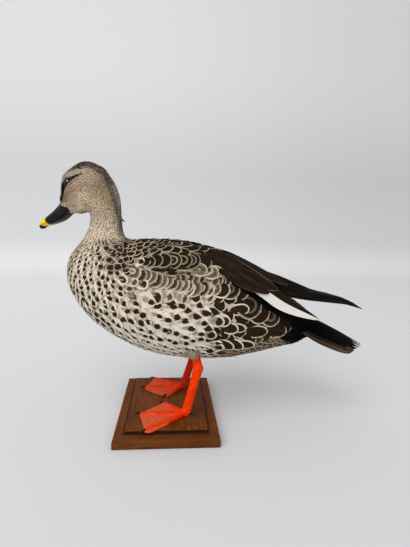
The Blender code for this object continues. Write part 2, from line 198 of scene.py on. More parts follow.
class Nodes:
    """Short words for building a node tree."""

    def __init__(self, name, roughness, specular):
        self.surface = bpy.data.materials.new(name)
        self.surface.use_nodes = True
        self.tree = self.surface.node_tree
        self.shader = self.tree.nodes["Principled BSDF"]
        self.shader.inputs["Roughness"].default_value = roughness
        self.shader.inputs["Specular IOR Level"].default_value = specular

    def node(self, kind, **settings):
        made = self.tree.nodes.new("ShaderNode" + kind)
        for key, value in settings.items():
            setattr(made, key, value)
        return made

    def put(self, socket, value):
        if isinstance(value, bpy.types.NodeSocket):
            self.tree.links.new(value, socket)
        elif socket.type == "RGBA":
            socket.default_value = (*value, 1)
        else:
            socket.default_value = value

    def maths(self, operation, *values):
        made = self.node("Math", operation=operation)
        for socket, value in zip(made.inputs, values):
            self.put(socket, value)
        return made.outputs[0]

    def times(self, a, b):
        return self.maths("MULTIPLY", a, b)

    def plus(self, a, b):
        return self.maths("ADD", a, b)

    def minus(self, a, b):
        return self.maths("SUBTRACT", a, b)

    def linear(self, a, b, c):
        """a times b, plus c."""
        return self.maths("MULTIPLY_ADD", a, b, c)

    def data(self, name, part=None):
        """What a mesh stores at its points: a colour, a value, or one part of a vector."""
        made = self.node("Attribute", attribute_name=name)
        if part is None:
            return made.outputs["Color"]
        if part == "value":
            return made.outputs["Fac"]
        return self.parts(made.outputs["Vector"])[part]

    def parts(self, vector):
        made = self.node("SeparateXYZ")
        self.put(made.inputs[0], vector)
        return made.outputs

    def vector(self, x, y, z=0.0):
        made = self.node("CombineXYZ")
        for socket, value in zip(made.inputs, (x, y, z)):
            self.put(socket, value)
        return made.outputs[0]

    def noise(self, at, scale, detail=2.0, roughness=0.5, distortion=0.0):
        made = self.node("TexNoise")
        self.put(made.inputs["Vector"], at)
        settings = {"Scale": scale, "Detail": detail, "Roughness": roughness, "Distortion": distortion}
        for key, value in settings.items():
            made.inputs[key].default_value = value
        return made.outputs["Fac"]

    def cells(self, at, scale):
        """Distance from the middle of the nearest cell."""
        made = self.node("TexVoronoi")
        self.put(made.inputs["Vector"], at)
        made.inputs["Scale"].default_value = scale
        return made.outputs["Distance"]

    def blend(self, share, a, b, kind="MIX"):
        made = self.node("Mix", data_type="RGBA", blend_type=kind)
        self.put(made.inputs[0], share)
        self.put(made.inputs[6], a)
        self.put(made.inputs[7], b)
        return made.outputs[2]

    def shaded(self, colour, shade):
        return self.blend(1.0, colour, self.vector(shade, shade, shade), "MULTIPLY")

    def step(self, value, low, high, out_low=0.0, out_high=1.0):
        made = self.node("MapRange", interpolation_type="SMOOTHSTEP")
        for socket, given in zip(made.inputs[:5], (value, low, high, out_low, out_high)):
            self.put(socket, given)
        return made.outputs[0]

    def place(self):
        return self.node("NewGeometry").outputs["Position"]

    def scaled(self, vector, x, y, z):
        made = self.node("VectorMath", operation="MULTIPLY")
        self.put(made.inputs[0], vector)
        made.inputs[1].default_value = (x, y, z)
        return made.outputs[0]

    def uv(self, name):
        return self.node("UVMap", uv_map=name).outputs[0]

    def colour(self, socket):
        self.put(self.shader.inputs["Base Color"], socket)

    def bump(self, height, strength, distance):
        made = self.node("Bump")
        made.inputs["Strength"].default_value = strength
        made.inputs["Distance"].default_value = distance
        self.put(made.inputs["Height"], height)
        self.put(self.shader.inputs["Normal"], made.outputs[0])


def vane_places(n, slant, widen, barbs, roughness):
    """Places on a vane: across from -1 to 1, off the shaft, along, the feather's number, and its barbs."""
    vane = n.parts(n.uv("Vane"))
    across, along = n.linear(vane[0], 2.0, -1.0), vane[1]
    side = n.maths("ABSOLUTE", across)
    seed = n.data("more", 2)
    row = n.times(n.minus(along, n.times(side, slant)), barbs)
    barb = n.noise(n.vector(n.times(across, widen), row, n.times(seed, 91.0)), 1.0, 3.0, roughness)
    return across, side, along, seed, barb


def plumage(name, roughness, wobble=0.16, barbs=26.0, slant=0.42, contrast=0.7, fuzzy=1.0):
    """Vane colours: an ellipse of the mark's colour, kept off the rim by a fringe, with one band in it."""
    n = Nodes(name, roughness, 0.02)
    across, side, along, seed, barb = vane_places(n, slant, 1.1, barbs, 0.7)
    fuzz = n.minus(barb, 0.5)
    blot_at = n.vector(n.times(across, 1.3), n.times(along, 3.2), n.times(seed, 37.0))
    rough = n.times(n.minus(n.noise(blot_at, 1.6, 3.0, 0.6), 0.5), wobble * 5)
    rough = n.linear(fuzz, 0.8 * fuzzy, rough)
    wide, tall, middle = (n.data("mark", i) for i in range(3))
    x = n.maths("DIVIDE", across, wide)

    def ellipse(centre, soft_in, soft_out):
        y = n.maths("DIVIDE", n.minus(along, centre), tall)
        away = n.maths("SQRT", n.plus(n.times(x, x), n.times(y, y)))
        return n.step(n.plus(rough, away), soft_out, soft_in)

    second = n.times(ellipse(n.minus(middle, 0.27), 0.5, 1.15), 0.55)
    dark = n.maths("MAXIMUM", ellipse(middle, 0.72, 1.12), second)
    rim = n.linear(fuzz, 0.14 * fuzzy, n.data("rim", "value"))
    fringe, period, ring = (n.data("edge", i) for i in range(3))
    inside = n.linear(rough, 0.16 * fuzzy, n.minus(rim, fringe))
    dark = n.times(dark, n.step(inside, -0.03, 0.04))
    wave = n.maths("COSINE", n.maths("DIVIDE", n.times(inside, 6.28), period))
    first_only = n.times(n.step(inside, 0.10, 0.16), n.step(inside, 0.95, 0.8))
    band = n.times(n.step(wave, -0.3, 0.8), n.times(ring, first_only))
    colour = n.blend(dark, n.data("ground"), n.data("spot"))
    colour = n.blend(band, colour, n.data("ground"))
    # The covered base of each feather is darkened: partly its greyer down, partly painted shade under the
    # feathers that overlap it.
    down_and_shade = n.times(n.step(along, 0.62, 0.30), n.data("more", 0))
    colour = n.blend(down_and_shade, colour, n.blend(0.5, (0.05, 0.04, 0.032), colour))
    cloud = n.noise(n.place(), 45.0)
    colour = n.shaded(colour, n.times(n.linear(barb, contrast * 2, 1 - contrast), n.linear(cloud, 0.4, 0.8)))
    shaft = n.times(n.step(side, 0.06, 0.02), n.data("more", 1))
    n.colour(n.blend(shaft, colour, n.blend(0.5, n.data("spot"), (0.10, 0.065, 0.04))))
    n.bump(n.plus(n.times(barb, 0.6), n.times(n.step(side, 0.08, 0.02), 0.5)), 0.5, 0.0006)
    return n.surface


# -------------------------------------------------- the head's own axes

HEAD_CENTRE = np.array((-11.4, 0.45, 31.6))
HEAD_TURN, HEAD_DIP = math.radians(22), math.radians(30)
FORWARD = np.array((
    -math.cos(HEAD_TURN) * math.cos(HEAD_DIP), math.sin(HEAD_TURN) * math.cos(HEAD_DIP), -math.sin(HEAD_DIP),
))
LEFT = np.array((-math.sin(HEAD_TURN), -math.cos(HEAD_TURN), 0.0))
UP = np.cross(FORWARD, LEFT)
HEAD_AXES = np.stack([FORWARD, LEFT, UP])


def on_head(p):
    """From the head's axes (forward, left, up) to the frame's."""
    return HEAD_CENTRE + np.asarray(p, float) @ HEAD_AXES


def in_head(p):
    return (np.asarray(p) - HEAD_CENTRE) @ HEAD_AXES.T


EYE = np.array((1.0, 1.62, 1.58))
EYE_RADIUS = 0.50


# -------------------------------------------------- the skin

# The point that the side view is seen from: its place along, its distance off the mid-plane and its height.
VIEW_ALONG, VIEW_AWAY, VIEW_HEIGHT = 0.32, 53.1, 27.3


def flatten(p):
    """A side view of the bird as it looks from half a metre off its flank: (along, height)."""
    grow = VIEW_AWAY / (VIEW_AWAY - np.abs(p[:, 1]))
    return VIEW_ALONG + (p[:, 0] - VIEW_ALONG) * grow, VIEW_HEIGHT - (VIEW_HEIGHT - p[:, 2]) * grow


def stand(a, b, y):
    """The point y off the mid-plane that is seen at (along, height) from half a metre off the flank."""
    near = (VIEW_AWAY - abs(y)) / VIEW_AWAY
    return VIEW_ALONG + (a - VIEW_ALONG) * near, y, VIEW_HEIGHT - (VIEW_HEIGHT - b) * near


def coat_depth(p):
    """How far the coat stands over the skin."""
    neck = ramp(24.0, 27.0, p[:, 2]) * ramp(-4.5, -6.5, p[:, 0])
    head = ramp(28.5, 30.5, p[:, 2])
    return 0.24 * (1 - neck) + neck * (0.16 * (1 - head) + 0.09 * head)


SKIN_VOXEL = 0.0019


def make_skin():
    """One closed skin over the solids of flesh, joined by way of voxels and smoothed."""
    bm = bmesh.new()
    for name in ("trunk", "neck", "head", "wing_left", "wing_right"):
        bm.from_mesh(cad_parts[name].data)
    bmesh.ops.remove_doubles(bm, verts=bm.verts, dist=1e-5)
    bm.normal_update()
    for v in bm.verts:
        v.co += v.normal * 0.0005
    mesh = bpy.data.meshes.new("skin_start")
    bm.to_mesh(mesh)
    bm.free()
    maker = placed("skin_start", mesh)
    voxels = maker.modifiers.new("voxels", "REMESH")
    voxels.mode = "VOXEL"
    voxels.voxel_size = SKIN_VOXEL
    even = maker.modifiers.new("even", "SMOOTH")
    even.factor = 0.5
    even.iterations = 14
    bpy.context.view_layer.update()
    made = bpy.data.meshes.new_from_object(maker.evaluated_get(bpy.context.evaluated_depsgraph_get()))
    bpy.data.objects.remove(maker)
    return made


def wing_line(a):
    """Height of the edge between the flank and what lies on the folded wing."""
    return np.interp(
        a,
        (-6.2, -5.2, -4.1, -3.0, -2.4, -0.6, 2.2, 3.6, 5.0, 6.4, 7.4, 10.6, 12.7, 14.6, 16.9, 19.0, 22.0),
        (20.3, 21.0, 21.8, 21.9, 20.8, 20.6, 20.9, 21.3, 21.3,
         21.0, 20.3, 19.1, 17.6, 16.0, 14.7, 14.2, 14.0),
    )


def arrays(mesh):
    """The mesh's points in centimetres, their normals, and each corner's point."""
    points = np.empty(len(mesh.vertices) * 3, np.float32)
    mesh.vertices.foreach_get("co", points)
    normals = np.empty(len(mesh.vertices) * 3, np.float32)
    mesh.vertex_normals.foreach_get("vector", normals)
    corners = np.empty(len(mesh.loops), np.int32)
    mesh.loops.foreach_get("vertex_index", corners)
    return points.reshape(-1, 3).astype(float) / CM, normals.reshape(-1, 3).astype(float), corners


def reshaped(mesh, points):
    """Moves the mesh's points, and gives them and their normals as they are then."""
    mesh.vertices.foreach_set("co", (points * CM).astype(np.float32).ravel())
    mesh.update()
    return arrays(mesh)[:2]


def eased(points):
    """The breast and the neck's foot made softer, and then the fold between flank and wing."""
    pairs = np.concatenate([quads[:, [0, 1]], quads[:, [1, 2]], quads[:, [2, 3]], quads[:, [3, 0]]])
    beside = np.bincount(pairs[:, 0], minlength=len(points))[:, None]
    front = 0.5 * ramp(-8.5, -6.0, points[:, 0]) * ramp(25.5, 24.0, points[:, 2])
    a, b = flatten(points)
    fold = 0.5 * ramp(2.3, 1.0, np.abs(b - wing_line(a))) * ramp(-7.0, -5.5, a) * ramp(13.0, 10.5, a)
    for share, rounds in ((front, 50), (fold, 120)):
        for _ in range(rounds):
            sums = [np.bincount(pairs[:, 0], points[pairs[:, 1], i], len(points)) for i in range(3)]
            points = points + (np.stack(sums, 1) / beside - points) * share[:, None]
    return points


def sunk(points, normals):
    """The skin drawn in under the outline by the coat's depth, less where the body is thin."""
    outer = BVHTree.FromPolygons(points.tolist(), quads.tolist())
    thick = np.full(len(points), 9.0)
    for i, (p, n) in enumerate(zip(points, normals)):
        hit = outer.ray_cast(Vector(p - 0.02 * n), Vector(-n), 3.0)
        if hit[0] is not None:
            thick[i] = hit[3]
    sink = np.minimum(coat_depth(points) + 0.05, 0.4 * thick)
    x, z = points[:, 0], points[:, 2]
    sink = sink - 0.24 * ramp(22.5, 24.5, z) * ramp(-5.5, -3.5, x) * ramp(11.0, 7.0, x)
    return points - normals * sink[:, None]


def face_form(points):
    """Folds of the face: lores, brow ridge, eye socket, cheek, the hollow behind the eye, and the chin."""
    forward, out, up = in_head(points).T
    side = np.abs(out)
    eye_gap = np.sqrt((forward - EYE[0]) ** 2 + (up - EYE[2]) ** 2)
    form = (
        -0.22 * hump(forward, 2.75, 0.75) * hump(up, 0.75, 0.75) * ramp(0.6, 1.3, side)
        + 0.16 * hump(forward, 0.75, 1.1) * hump(up, 2.55, 0.35) * ramp(0.6, 1.2, side)
        - 0.12 * np.exp(-((eye_gap / 0.62) ** 2)) * ramp(1.0, 1.5, side)
        + 0.10 * hump(forward, 0.2, 1.3) * hump(up, -0.5, 1.1) * ramp(0.9, 1.5, side)
        - 0.10 * hump(forward, -0.9, 0.9) * hump(up, 1.3, 0.6) * ramp(0.9, 1.5, side)
        + 0.22 * hump(forward, 2.3, 0.8) * hump(up, -2.0, 0.5)
    )
    return form * ramp(-3.6, -2.6, forward) * (points[:, 2] > 27.5)


skin_mesh = make_skin()
points, _, corners = arrays(skin_mesh)
quads = corners.reshape(-1, 4)
points, normals = reshaped(skin_mesh, eased(points))
points = sunk(points, normals)
points = points + normals * face_form(points)[:, None]
points, normals = reshaped(skin_mesh, points)
skin = BVHTree.FromPolygons(points.tolist(), quads.tolist())
face_normals = unit(normals[quads].mean(1))


def settle(at):
    """The nearest places on the skin and the skin's normals there."""
    where = np.empty_like(at)
    face = np.empty(len(at), np.int64)
    for i, p in enumerate(at):
        hit = skin.find_nearest(Vector(p))
        where[i] = hit[0]
        face[i] = hit[2]
    return where, face_normals[face]


# The lie of the coat in side view: along, height, direction in degrees (0 is straight back, -90 down).
LIE = np.array((
    (-14.7, 30.4, 80), (-14.2, 32.6, 60), (-12.6, 34.7, 20), (-11.0, 35.2, -5), (-9.2, 34.2, -45),
    (-8.0, 32.4, -65), (-7.2, 30.2, -80), (-6.9, 28.2, -88), (-6.9, 26.2, -80), (-5.6, 24.9, -30),
    (-3.5, 25.1, -6), (-13.6, 30.6, 0), (-12.2, 31.6, -8), (-12.0, 33.4, 0), (-10.6, 32.4, -25),
    (-12.6, 29.3, -18), (-11.4, 29.6, -48), (-9.9, 30.6, -55), (-12.3, 28.5, -45), (-10.7, 28.2, -80),
    (-9.0, 29.0, -78), (-10.4, 26.4, -98), (-8.5, 27.0, -88), (-11.0, 24.8, -112), (-12.6, 22.4, -108),
    (-13.6, 20.6, -92), (-13.3, 18.3, -78), (-12.3, 16.1, -60), (-10.4, 13.9, -45), (-8.0, 12.1, -34),
    (-5.0, 10.4, -22), (-2.0, 9.3, -14), (2.0, 8.5, -5), (6.0, 8.3, 3), (10.0, 8.7, 9), (14.0, 9.4, 15),
    (18.0, 10.4, 20), (-9.5, 24.0, -95), (-10.0, 21.5, -92), (-10.3, 18.6, -76), (-8.2, 16.6, -52),
    (-8.0, 20.3, -72), (-6.6, 22.6, -48), (-5.8, 18.4, -42), (-4.0, 15.0, -30), (-7.0, 14.4, -40),
    (-3.0, 12.4, -22), (-6.6, 24.2, -35), (-4.0, 23.2, -20), (-2.0, 24.6, -8), (0.0, 22.2, -12),
    (-2.0, 19.0, -20), (1.5, 19.3, -6), (0.0, 16.0, -16), (1.0, 12.4, -12), (4.5, 18.6, -10),
    (5.0, 15.0, -12), (5.0, 11.0, -6), (9.0, 18.0, -22), (9.0, 14.6, -14), (9.0, 11.0, 0),
    (12.0, 16.0, -32), (13.0, 13.0, -16), (13.0, 10.6, 8), (16.0, 13.2, -26), (18.0, 12.4, -10),
    (3.0, 24.6, -8), (5.0, 22.6, -14), (8.0, 22.6, -22), (8.0, 21.0, -25), (11.0, 20.0, -33),
    (14.0, 18.0, -38), (18.0, 16.0, -30), (21.0, 14.0, -25),
))


def lie(at, up, sway=0.0):
    """Unit directions in which the coat lies, in the skin's plane."""
    gap = (at[:, 0, None] - LIE[:, 0]) ** 2 + (at[:, 2, None] - LIE[:, 1]) ** 2 + 0.3
    weight = gap ** -2.0
    angle = np.radians(LIE[:, 2])
    ahead = np.stack([(weight * np.cos(angle)).sum(1), 0 * at[:, 0], (weight * np.sin(angle)).sum(1)], 1)
    ahead = unit(ahead)
    ahead = unit(ahead - (ahead * up).sum(1, keepdims=True) * up)
    across = np.cross(up, ahead)
    sway = np.broadcast_to(np.asarray(sway, float), (len(at),))[:, None]
    return unit(ahead * np.cos(sway) + across * np.sin(sway))


# -------------------------------------------------- markings, shared by skin and coat

CREAM, BEIGE, BUFF = (0.72, 0.63, 0.50), (0.71, 0.60, 0.46), (0.41, 0.29, 0.185)
WHITE_DOWN = (0.70, 0.655, 0.565)
TAN = (0.46, 0.36, 0.25)
CHOCOLATE, DEEP, BLACK = (0.024, 0.013, 0.008), (0.013, 0.008, 0.005), (0.0025, 0.002, 0.0025)


ALL_OVER = (2.0, 1.0, 0.5)


def face_masks(p, head, on_neck):
    """Dark crown and hind neck, line through the eye, brow over it, pale ear, lower face and chin; the lower
    face and chin are paler partly in their own colour and partly as painted fill light on the downward-facing
    underside.
    """
    forward, out, up = in_head(p).T
    out = np.abs(out)
    crown_edge = np.interp(
        forward, (-3.6, -2.7, -1.2, -0.3, 0.8, 2.5, 3.5), (-0.2, 1.6, 2.2, 2.6, 2.9, 2.3, 1.6),
    )
    crown = head * ramp(-0.25, 0.12, up - crown_edge)
    nape_edge = np.interp(
        p[:, 2], (25, 27, 28.3, 29.6, 30.8, 32.1, 33.3), (-6.5, -6.8, -7.05, -7.3, -7.7, -8.2, -8.9),
    )
    nape = ramp(24.6, 26.5, p[:, 2]) * ramp(-0.45, 0.3, p[:, 0] - nape_edge) * on_neck
    line = np.interp(
        forward, (-2.2, -1.1, -0.4, 0.95, 2.0, 2.5, 3.1, 3.7), (1.1, 1.33, 1.47, 1.65, 1.17, 0.75, 0.35, 0.0),
    )
    thick = np.interp(
        forward, (-1.6, -1.0, -0.3, 0.6, 1.3, 2.2, 3.0, 3.6),
        (0.05, 0.10, 0.17, 0.44, 0.58, 0.46, 0.38, 0.15),
    )
    off_line = np.abs(up - line) / thick
    stripe = head * ramp(0.5, 0.9, out) * ramp(1.15, 0.85, off_line) * ramp(-2.4, -0.9, forward)
    brow = head * ramp(0.55, 0.3, np.abs(up - line - thick - 0.42)) * ramp(-3.0, -1.5, forward) * (1 - stripe)
    ear = head * np.exp(-(((forward + 1.6) / 1.3) ** 2 + ((up - 0.4) / 1.0) ** 2))
    # The lower face and chin are paler partly in their own colour and partly as painted fill light where the
    # head faces down.
    lower = head * ramp(0.0, -1.5, up) * ramp(-2.5, -0.5, forward)
    chin = head * ramp(-1.7, -2.2, up) * ramp(0.2, 1.2, forward)
    return np.maximum(crown, nape), stripe, brow, ear, lower, chin


def markings(p):
    """Everything about the feather that grows at each place: its size, colours and the shape of its mark.

    mark is the dark mark's half width, half length and place along; edge is the fringe's width, and the inner
    band's period and strength.
    """
    a, b = flatten(p)
    z = p[:, 2]
    over_wing = b - wing_line(a)
    on_neck = ramp(23.8, 25.4, b) * ramp(-5.4, -6.6, a + 0.25 * (b - 25))
    head = ramp(28.0, 30.0, z) * on_neck
    front_edge = np.interp(b, (19.5, 20.5, 21.5, 22.5, 23.6, 24.8), (-6.3, -5.9, -5.8, -5.7, -5.8, -6.1))
    back = ramp(-0.06, 0.06, over_wing) * ramp(-0.1, 0.1, a - front_edge) * (1 - on_neck)
    below = 1 - back
    rump = np.maximum(ramp(16.6, 17.5, a + 0.3 * (b - 13.4)), ramp(-1.5, -0.8, over_wing) * ramp(12, 13.5, a))
    rump = rump * below
    shoulder = ramp(-10.2, -8.8, a) * ramp(-4.6, -5.4, a) * ramp(19.2, 20.6, b) * ramp(25.2, 24.4, b) * below
    low = ramp(13.8, 10.5, b - 0.25 * np.maximum(a - 8, 0))
    rear_edge = np.interp(b, (8.5, 9.2, 12.2, 16.6, 20.0), (11.0, 9.4, 7.3, 6.7, 6.6))
    rear = ramp(-1.6, 0.8, a - rear_edge) * below * (1 - rump)
    upper_edge = np.interp(a, (8.0, 8.6, 10.8, 13.0, 15.5, 19.0), (23.4, 22.9, 21.7, 20.2, 18.6, 17.2))
    black_top = back * ramp(8.0, 9.0, a) * ramp(-0.1, 0.1, b - upper_edge)
    black_top = np.maximum(black_top, back * ramp(-4.5, -2.5, a) * ramp(1.5, 0.7, np.abs(p[:, 1])))
    tucked = back * ramp(8.2, 9.2, a) * (1 - black_top)
    banded = ramp(-5.6, -4.6, a) * ramp(16.2, 17.2, b) * ramp(21.6, 21.0, b) * below * (1 - rear)
    under_edge = np.interp(a, (6.8, 10.4, 14.1, 17.0, 19.3), (8.9, 10.0, 11.0, 12.2, 12.2))
    under = ramp(5.5, 8.0, a) * ramp(0.2, -0.2, b - under_edge) * (1 - rump)
    flank = ramp(-3, 3, a) * ramp(9, 11.5, b)
    middle_row = ramp(20.6, 21.2, b) * ramp(23.6, 22.8, b) * ramp(-3.0, -2.0, a) * ramp(5.5, 4.0, a)
    dark_top, stripe, brow, ear, lower_face, chin = face_masks(p, head, on_neck)

    breast = ramp(-5.5, -8.5, a) * ramp(14.0, 17.0, b)
    size = np.interp(
        b, (8, 14, 18, 21, 23, 24.4, 25.6, 27.5, 30), (1.1, 1.15, 1.05, 0.8, 0.64, 0.46, 0.36, 0.32, 0.28),
    )
    size = np.where(b < 24, size + (0.84 - size) * breast * 0.8 * ramp(22.5, 20.5, b), size)
    for mask, value in (
        (ramp(-5, 2, a) * ramp(10, 13, b) * (1 - on_neck), 1.4), (shoulder, 0.68), (rear, 1.6), (banded, 1.5),
        (back, np.interp(a, (-6, -3, 0, 4, 9), (0.75, 0.95, 1.2, 1.5, 1.8))), (rump, 1.3), (under, 0.8),
    ):
        size = size * (1 - mask) + value * mask
    size = size * (1 - 0.25 * head * ramp(0.5, 2.6, in_head(p)[:, 0]))

    ground = layered(
        mix(BEIGE, CREAM, ramp(22, 15, b)), (low * 0.9, WHITE_DOWN), (on_neck, (0.57, 0.455, 0.335)),
        (on_neck * ramp(28.2, 25.6, z), (0.76, 0.62, 0.46)), (head, BUFF), (banded, (0.62, 0.52, 0.38)),
        (rear * 0.8, (0.62, 0.52, 0.38)), (shoulder * 0.7, (0.44, 0.35, 0.25)), (back, TAN),
        (under, (0.30, 0.22, 0.155)), (rump, BLACK), (tucked, (0.03, 0.02, 0.014)), (black_top, BLACK),
        (0.92 * dark_top, (0.23, 0.195, 0.16)), (brow, (0.51, 0.415, 0.32)),
        # The pale lower face and chin colours are partly painted fill light on the downward-facing underside.
        (0.6 * ear, (0.60, 0.475, 0.365)), (lower_face, (0.69, 0.54, 0.38)), (chin, (0.95, 0.85, 0.70)),
        (stripe, (0.006, 0.005, 0.005)),
    )
    spot = layered(
        CHOCOLATE, (on_neck, (0.13, 0.094, 0.063)), (head, (0.115, 0.082, 0.055)),
        (banded, (0.16, 0.115, 0.072)), (rear, CHOCOLATE), (back, DEEP), (under, (0.05, 0.033, 0.02)),
        # The chin's pale spot colour is partly painted fill light too.
        (rump, BLACK), (black_top, BLACK), (dark_top, (0.010, 0.008, 0.006)), (chin, (0.60, 0.49, 0.38)),
        (stripe, (0.004, 0.003, 0.003)),
    )
    mark = layered(
        (0.56, 0.22, 0.81), (low, (0.34, 0.17, 0.85)), (flank, (0.52, 0.175, 0.84)),
        (shoulder, (0.95, 0.34, 0.74)),
        (banded, (1.1, 0.6, 0.6)), (on_neck, (0.50, 0.13, 0.85)), (rear, (1.6, 0.8, 0.6)), (back, ALL_OVER),
        (under, (0.5, 0.3, 0.7)), (rump, ALL_OVER), (dark_top, (0.75, 0.40, 0.6)), (stripe, ALL_OVER),
    )
    edge = layered(
        (-0.2, 0.45, 0.0), (banded, (0.34, 0.66, 0.8)), (rear, (0.2, 0.9, 0.0)), (back, (0.14, 0.9, 0.0)),
        (shoulder, (0.08, 0.9, 0.0)), (back * middle_row, (0.16, 0.5, 0.8)), (rump, (-0.2, 1.0, 0.0)),
        (black_top, (-0.2, 1.0, 0.0)),
    )
    return {
        "size": size, "ground": ground, "spot": spot, "mark": mark, "edge": edge, "a": a, "b": b,
        "neck": on_neck, "rear": rear, "banded": banded, "tucked": tucked, "back": back, "rump": rump,
        "dark_top": dark_top,
    }


def unwrap(p):
    """The skin laid out flat: round the bird across, and from the bill to the tail upwards."""
    upper = ramp(24.0, 27.0, p[:, 2]) * ramp(-4.5, -6.5, p[:, 0])
    round_body = np.arctan2(p[:, 1], p[:, 2] - 16.0) / (2 * math.pi)
    round_neck = np.arctan2(p[:, 1] - 0.3, p[:, 0] + 9.2) / (2 * math.pi)
    along_body = 0.42 + 0.55 * (p[:, 0] + 14.2) / 36.5
    along_neck = 0.38 - 0.36 * (p[:, 2] - 24.5) / 11.0
    u = np.where(upper > 0.5, round_neck, round_body) + 0.5
    v = np.where(upper > 0.5, along_neck, along_body)
    return np.clip(np.stack([u, v], 1), 0.01, 0.99)


# -------------------------------------------------- where feathers grow

TRIES = 80000  # random places that the thinning starts from
SPACING = 1.28  # a feather's size over the room its root keeps
ROOM_ALONG, ROOM_ACROSS = 0.8, 1.25  # that room along the lie and across it
PUSH_ROUNDS, PUSH_REACH, PUSH_SHARE = 7, 1.55, 0.22  # how the larger feathers' roots are evened out


def tree_of(at):
    tree = KDTree(len(at))
    for i, p in enumerate(at):
        tree.insert(p, i)
    tree.balance()
    return tree


def thinned(at, ahead):
    """The places that stand in no earlier one's room."""
    reach = markings(at)["size"] / SPACING
    tree = tree_of(at)
    free = np.ones(len(at), bool)
    kept = []
    for i in range(len(at)):
        if not free[i]:
            continue
        kept.append(i)
        near = np.array([j for _, j, _ in tree.find_range(at[i], reach[i] * ROOM_ACROSS)])
        gap = at[near] - at[i]
        along = gap @ ahead[i]
        across = (gap * gap).sum(1) - along ** 2
        free[near[(along / ROOM_ALONG) ** 2 + across / ROOM_ACROSS ** 2 < reach[i] ** 2]] = False
    return at[kept]


def spread(at):
    """The places, with the larger feathers' ones pushed off their neighbours."""
    large = np.flatnonzero(markings(at)["size"] > 0.5)
    for _ in range(PUSH_ROUNDS):
        here, up = settle(at[large])
        at[large] = here
        reach = markings(here)["size"] / SPACING
        ahead = lie(here, up)
        tree = tree_of(at)
        push = np.zeros_like(here)
        for k, i in enumerate(large):
            near = [j for _, j, _ in tree.find_range(at[i], reach[k] * 2.0) if j != i]
            if not near:
                continue
            gap = at[i] - at[near]
            along = gap @ ahead[k]
            across = gap - along[:, None] * ahead[k]
            metric = (along / ROOM_ALONG) ** 2 + (across * across).sum(1) / ROOM_ACROSS ** 2
            metric = np.sqrt(metric) / reach[k]
            force = np.maximum(0, PUSH_REACH - metric) ** 2 / np.maximum(metric, 0.2)
            push[k] = (gap * force[:, None]).sum(0)
        at[large] += np.clip(push * PUSH_SHARE, -0.25, 0.25)
    return settle(at)[0]


def scatter():
    """Roots of the coat: random places, evened out into rows that are closer along the lie than across it."""
    tri = np.concatenate([quads[:, [0, 1, 2]], quads[:, [0, 2, 3]]])
    a, b, c = points[tri[:, 0]], points[tri[:, 1]], points[tri[:, 2]]
    cross = np.cross(b - a, c - a)
    odds = np.linalg.norm(cross, axis=1) / markings((a + b + c) / 3)["size"] ** 2
    pick = chance.choice(len(tri), TRIES, p=odds / odds.sum())
    s, t = chance.random((2, len(pick)))
    s, t = np.where(s + t > 1, 1 - s, s), np.where(s + t > 1, 1 - t, t)
    at = a[pick] + (b - a)[pick] * s[:, None] + (c - a)[pick] * t[:, None]
    return spread(thinned(at, lie(at, unit(cross[pick]))))


def vane_outline(rows, power, body):
    """Shares of the length and of the width down a vane: narrow root, full middle, round tip."""
    base = rows // 2
    lower = np.linspace(0, 1, base + 1)[:-1]
    angle = np.linspace(0, 1, rows - base) ** 0.85 * math.radians(86)
    along = np.concatenate([lower * body, body + (1 - body) * np.sin(angle)])
    wide = np.concatenate([0.35 + 0.65 * np.sin(lower * math.pi / 2), np.cos(angle) ** (2 / power)])
    return along, wide


def rim_depth(half, length, along, wide, u):
    """Distance in from the sides and tip of each flattened vane, at every place of its grid."""
    outline_x = np.concatenate([wide, wide[::-1], [0.0]])
    outline_x[len(wide):-1] *= -1
    outline_y = np.concatenate([along, along[::-1], [1.0]])
    use = outline_y > 0.3
    x, y = (wide[:, None] * u[None]).ravel(), np.repeat(along, len(u))
    depth = np.full((len(half), len(x)), 9.0)
    for ox, oy in zip(outline_x[use], outline_y[use]):
        gap = np.hypot(half[:, None] * (x - ox)[None], length[:, None] * (y - oy)[None])
        depth = np.minimum(depth, gap)
    sides = half[:, None] * (wide[:, None] * (1 - np.abs(u))[None]).ravel()[None]
    return np.where(np.abs(np.tile(u, len(along))) > 0.999, 0, np.minimum(depth, np.maximum(sides, 0)))


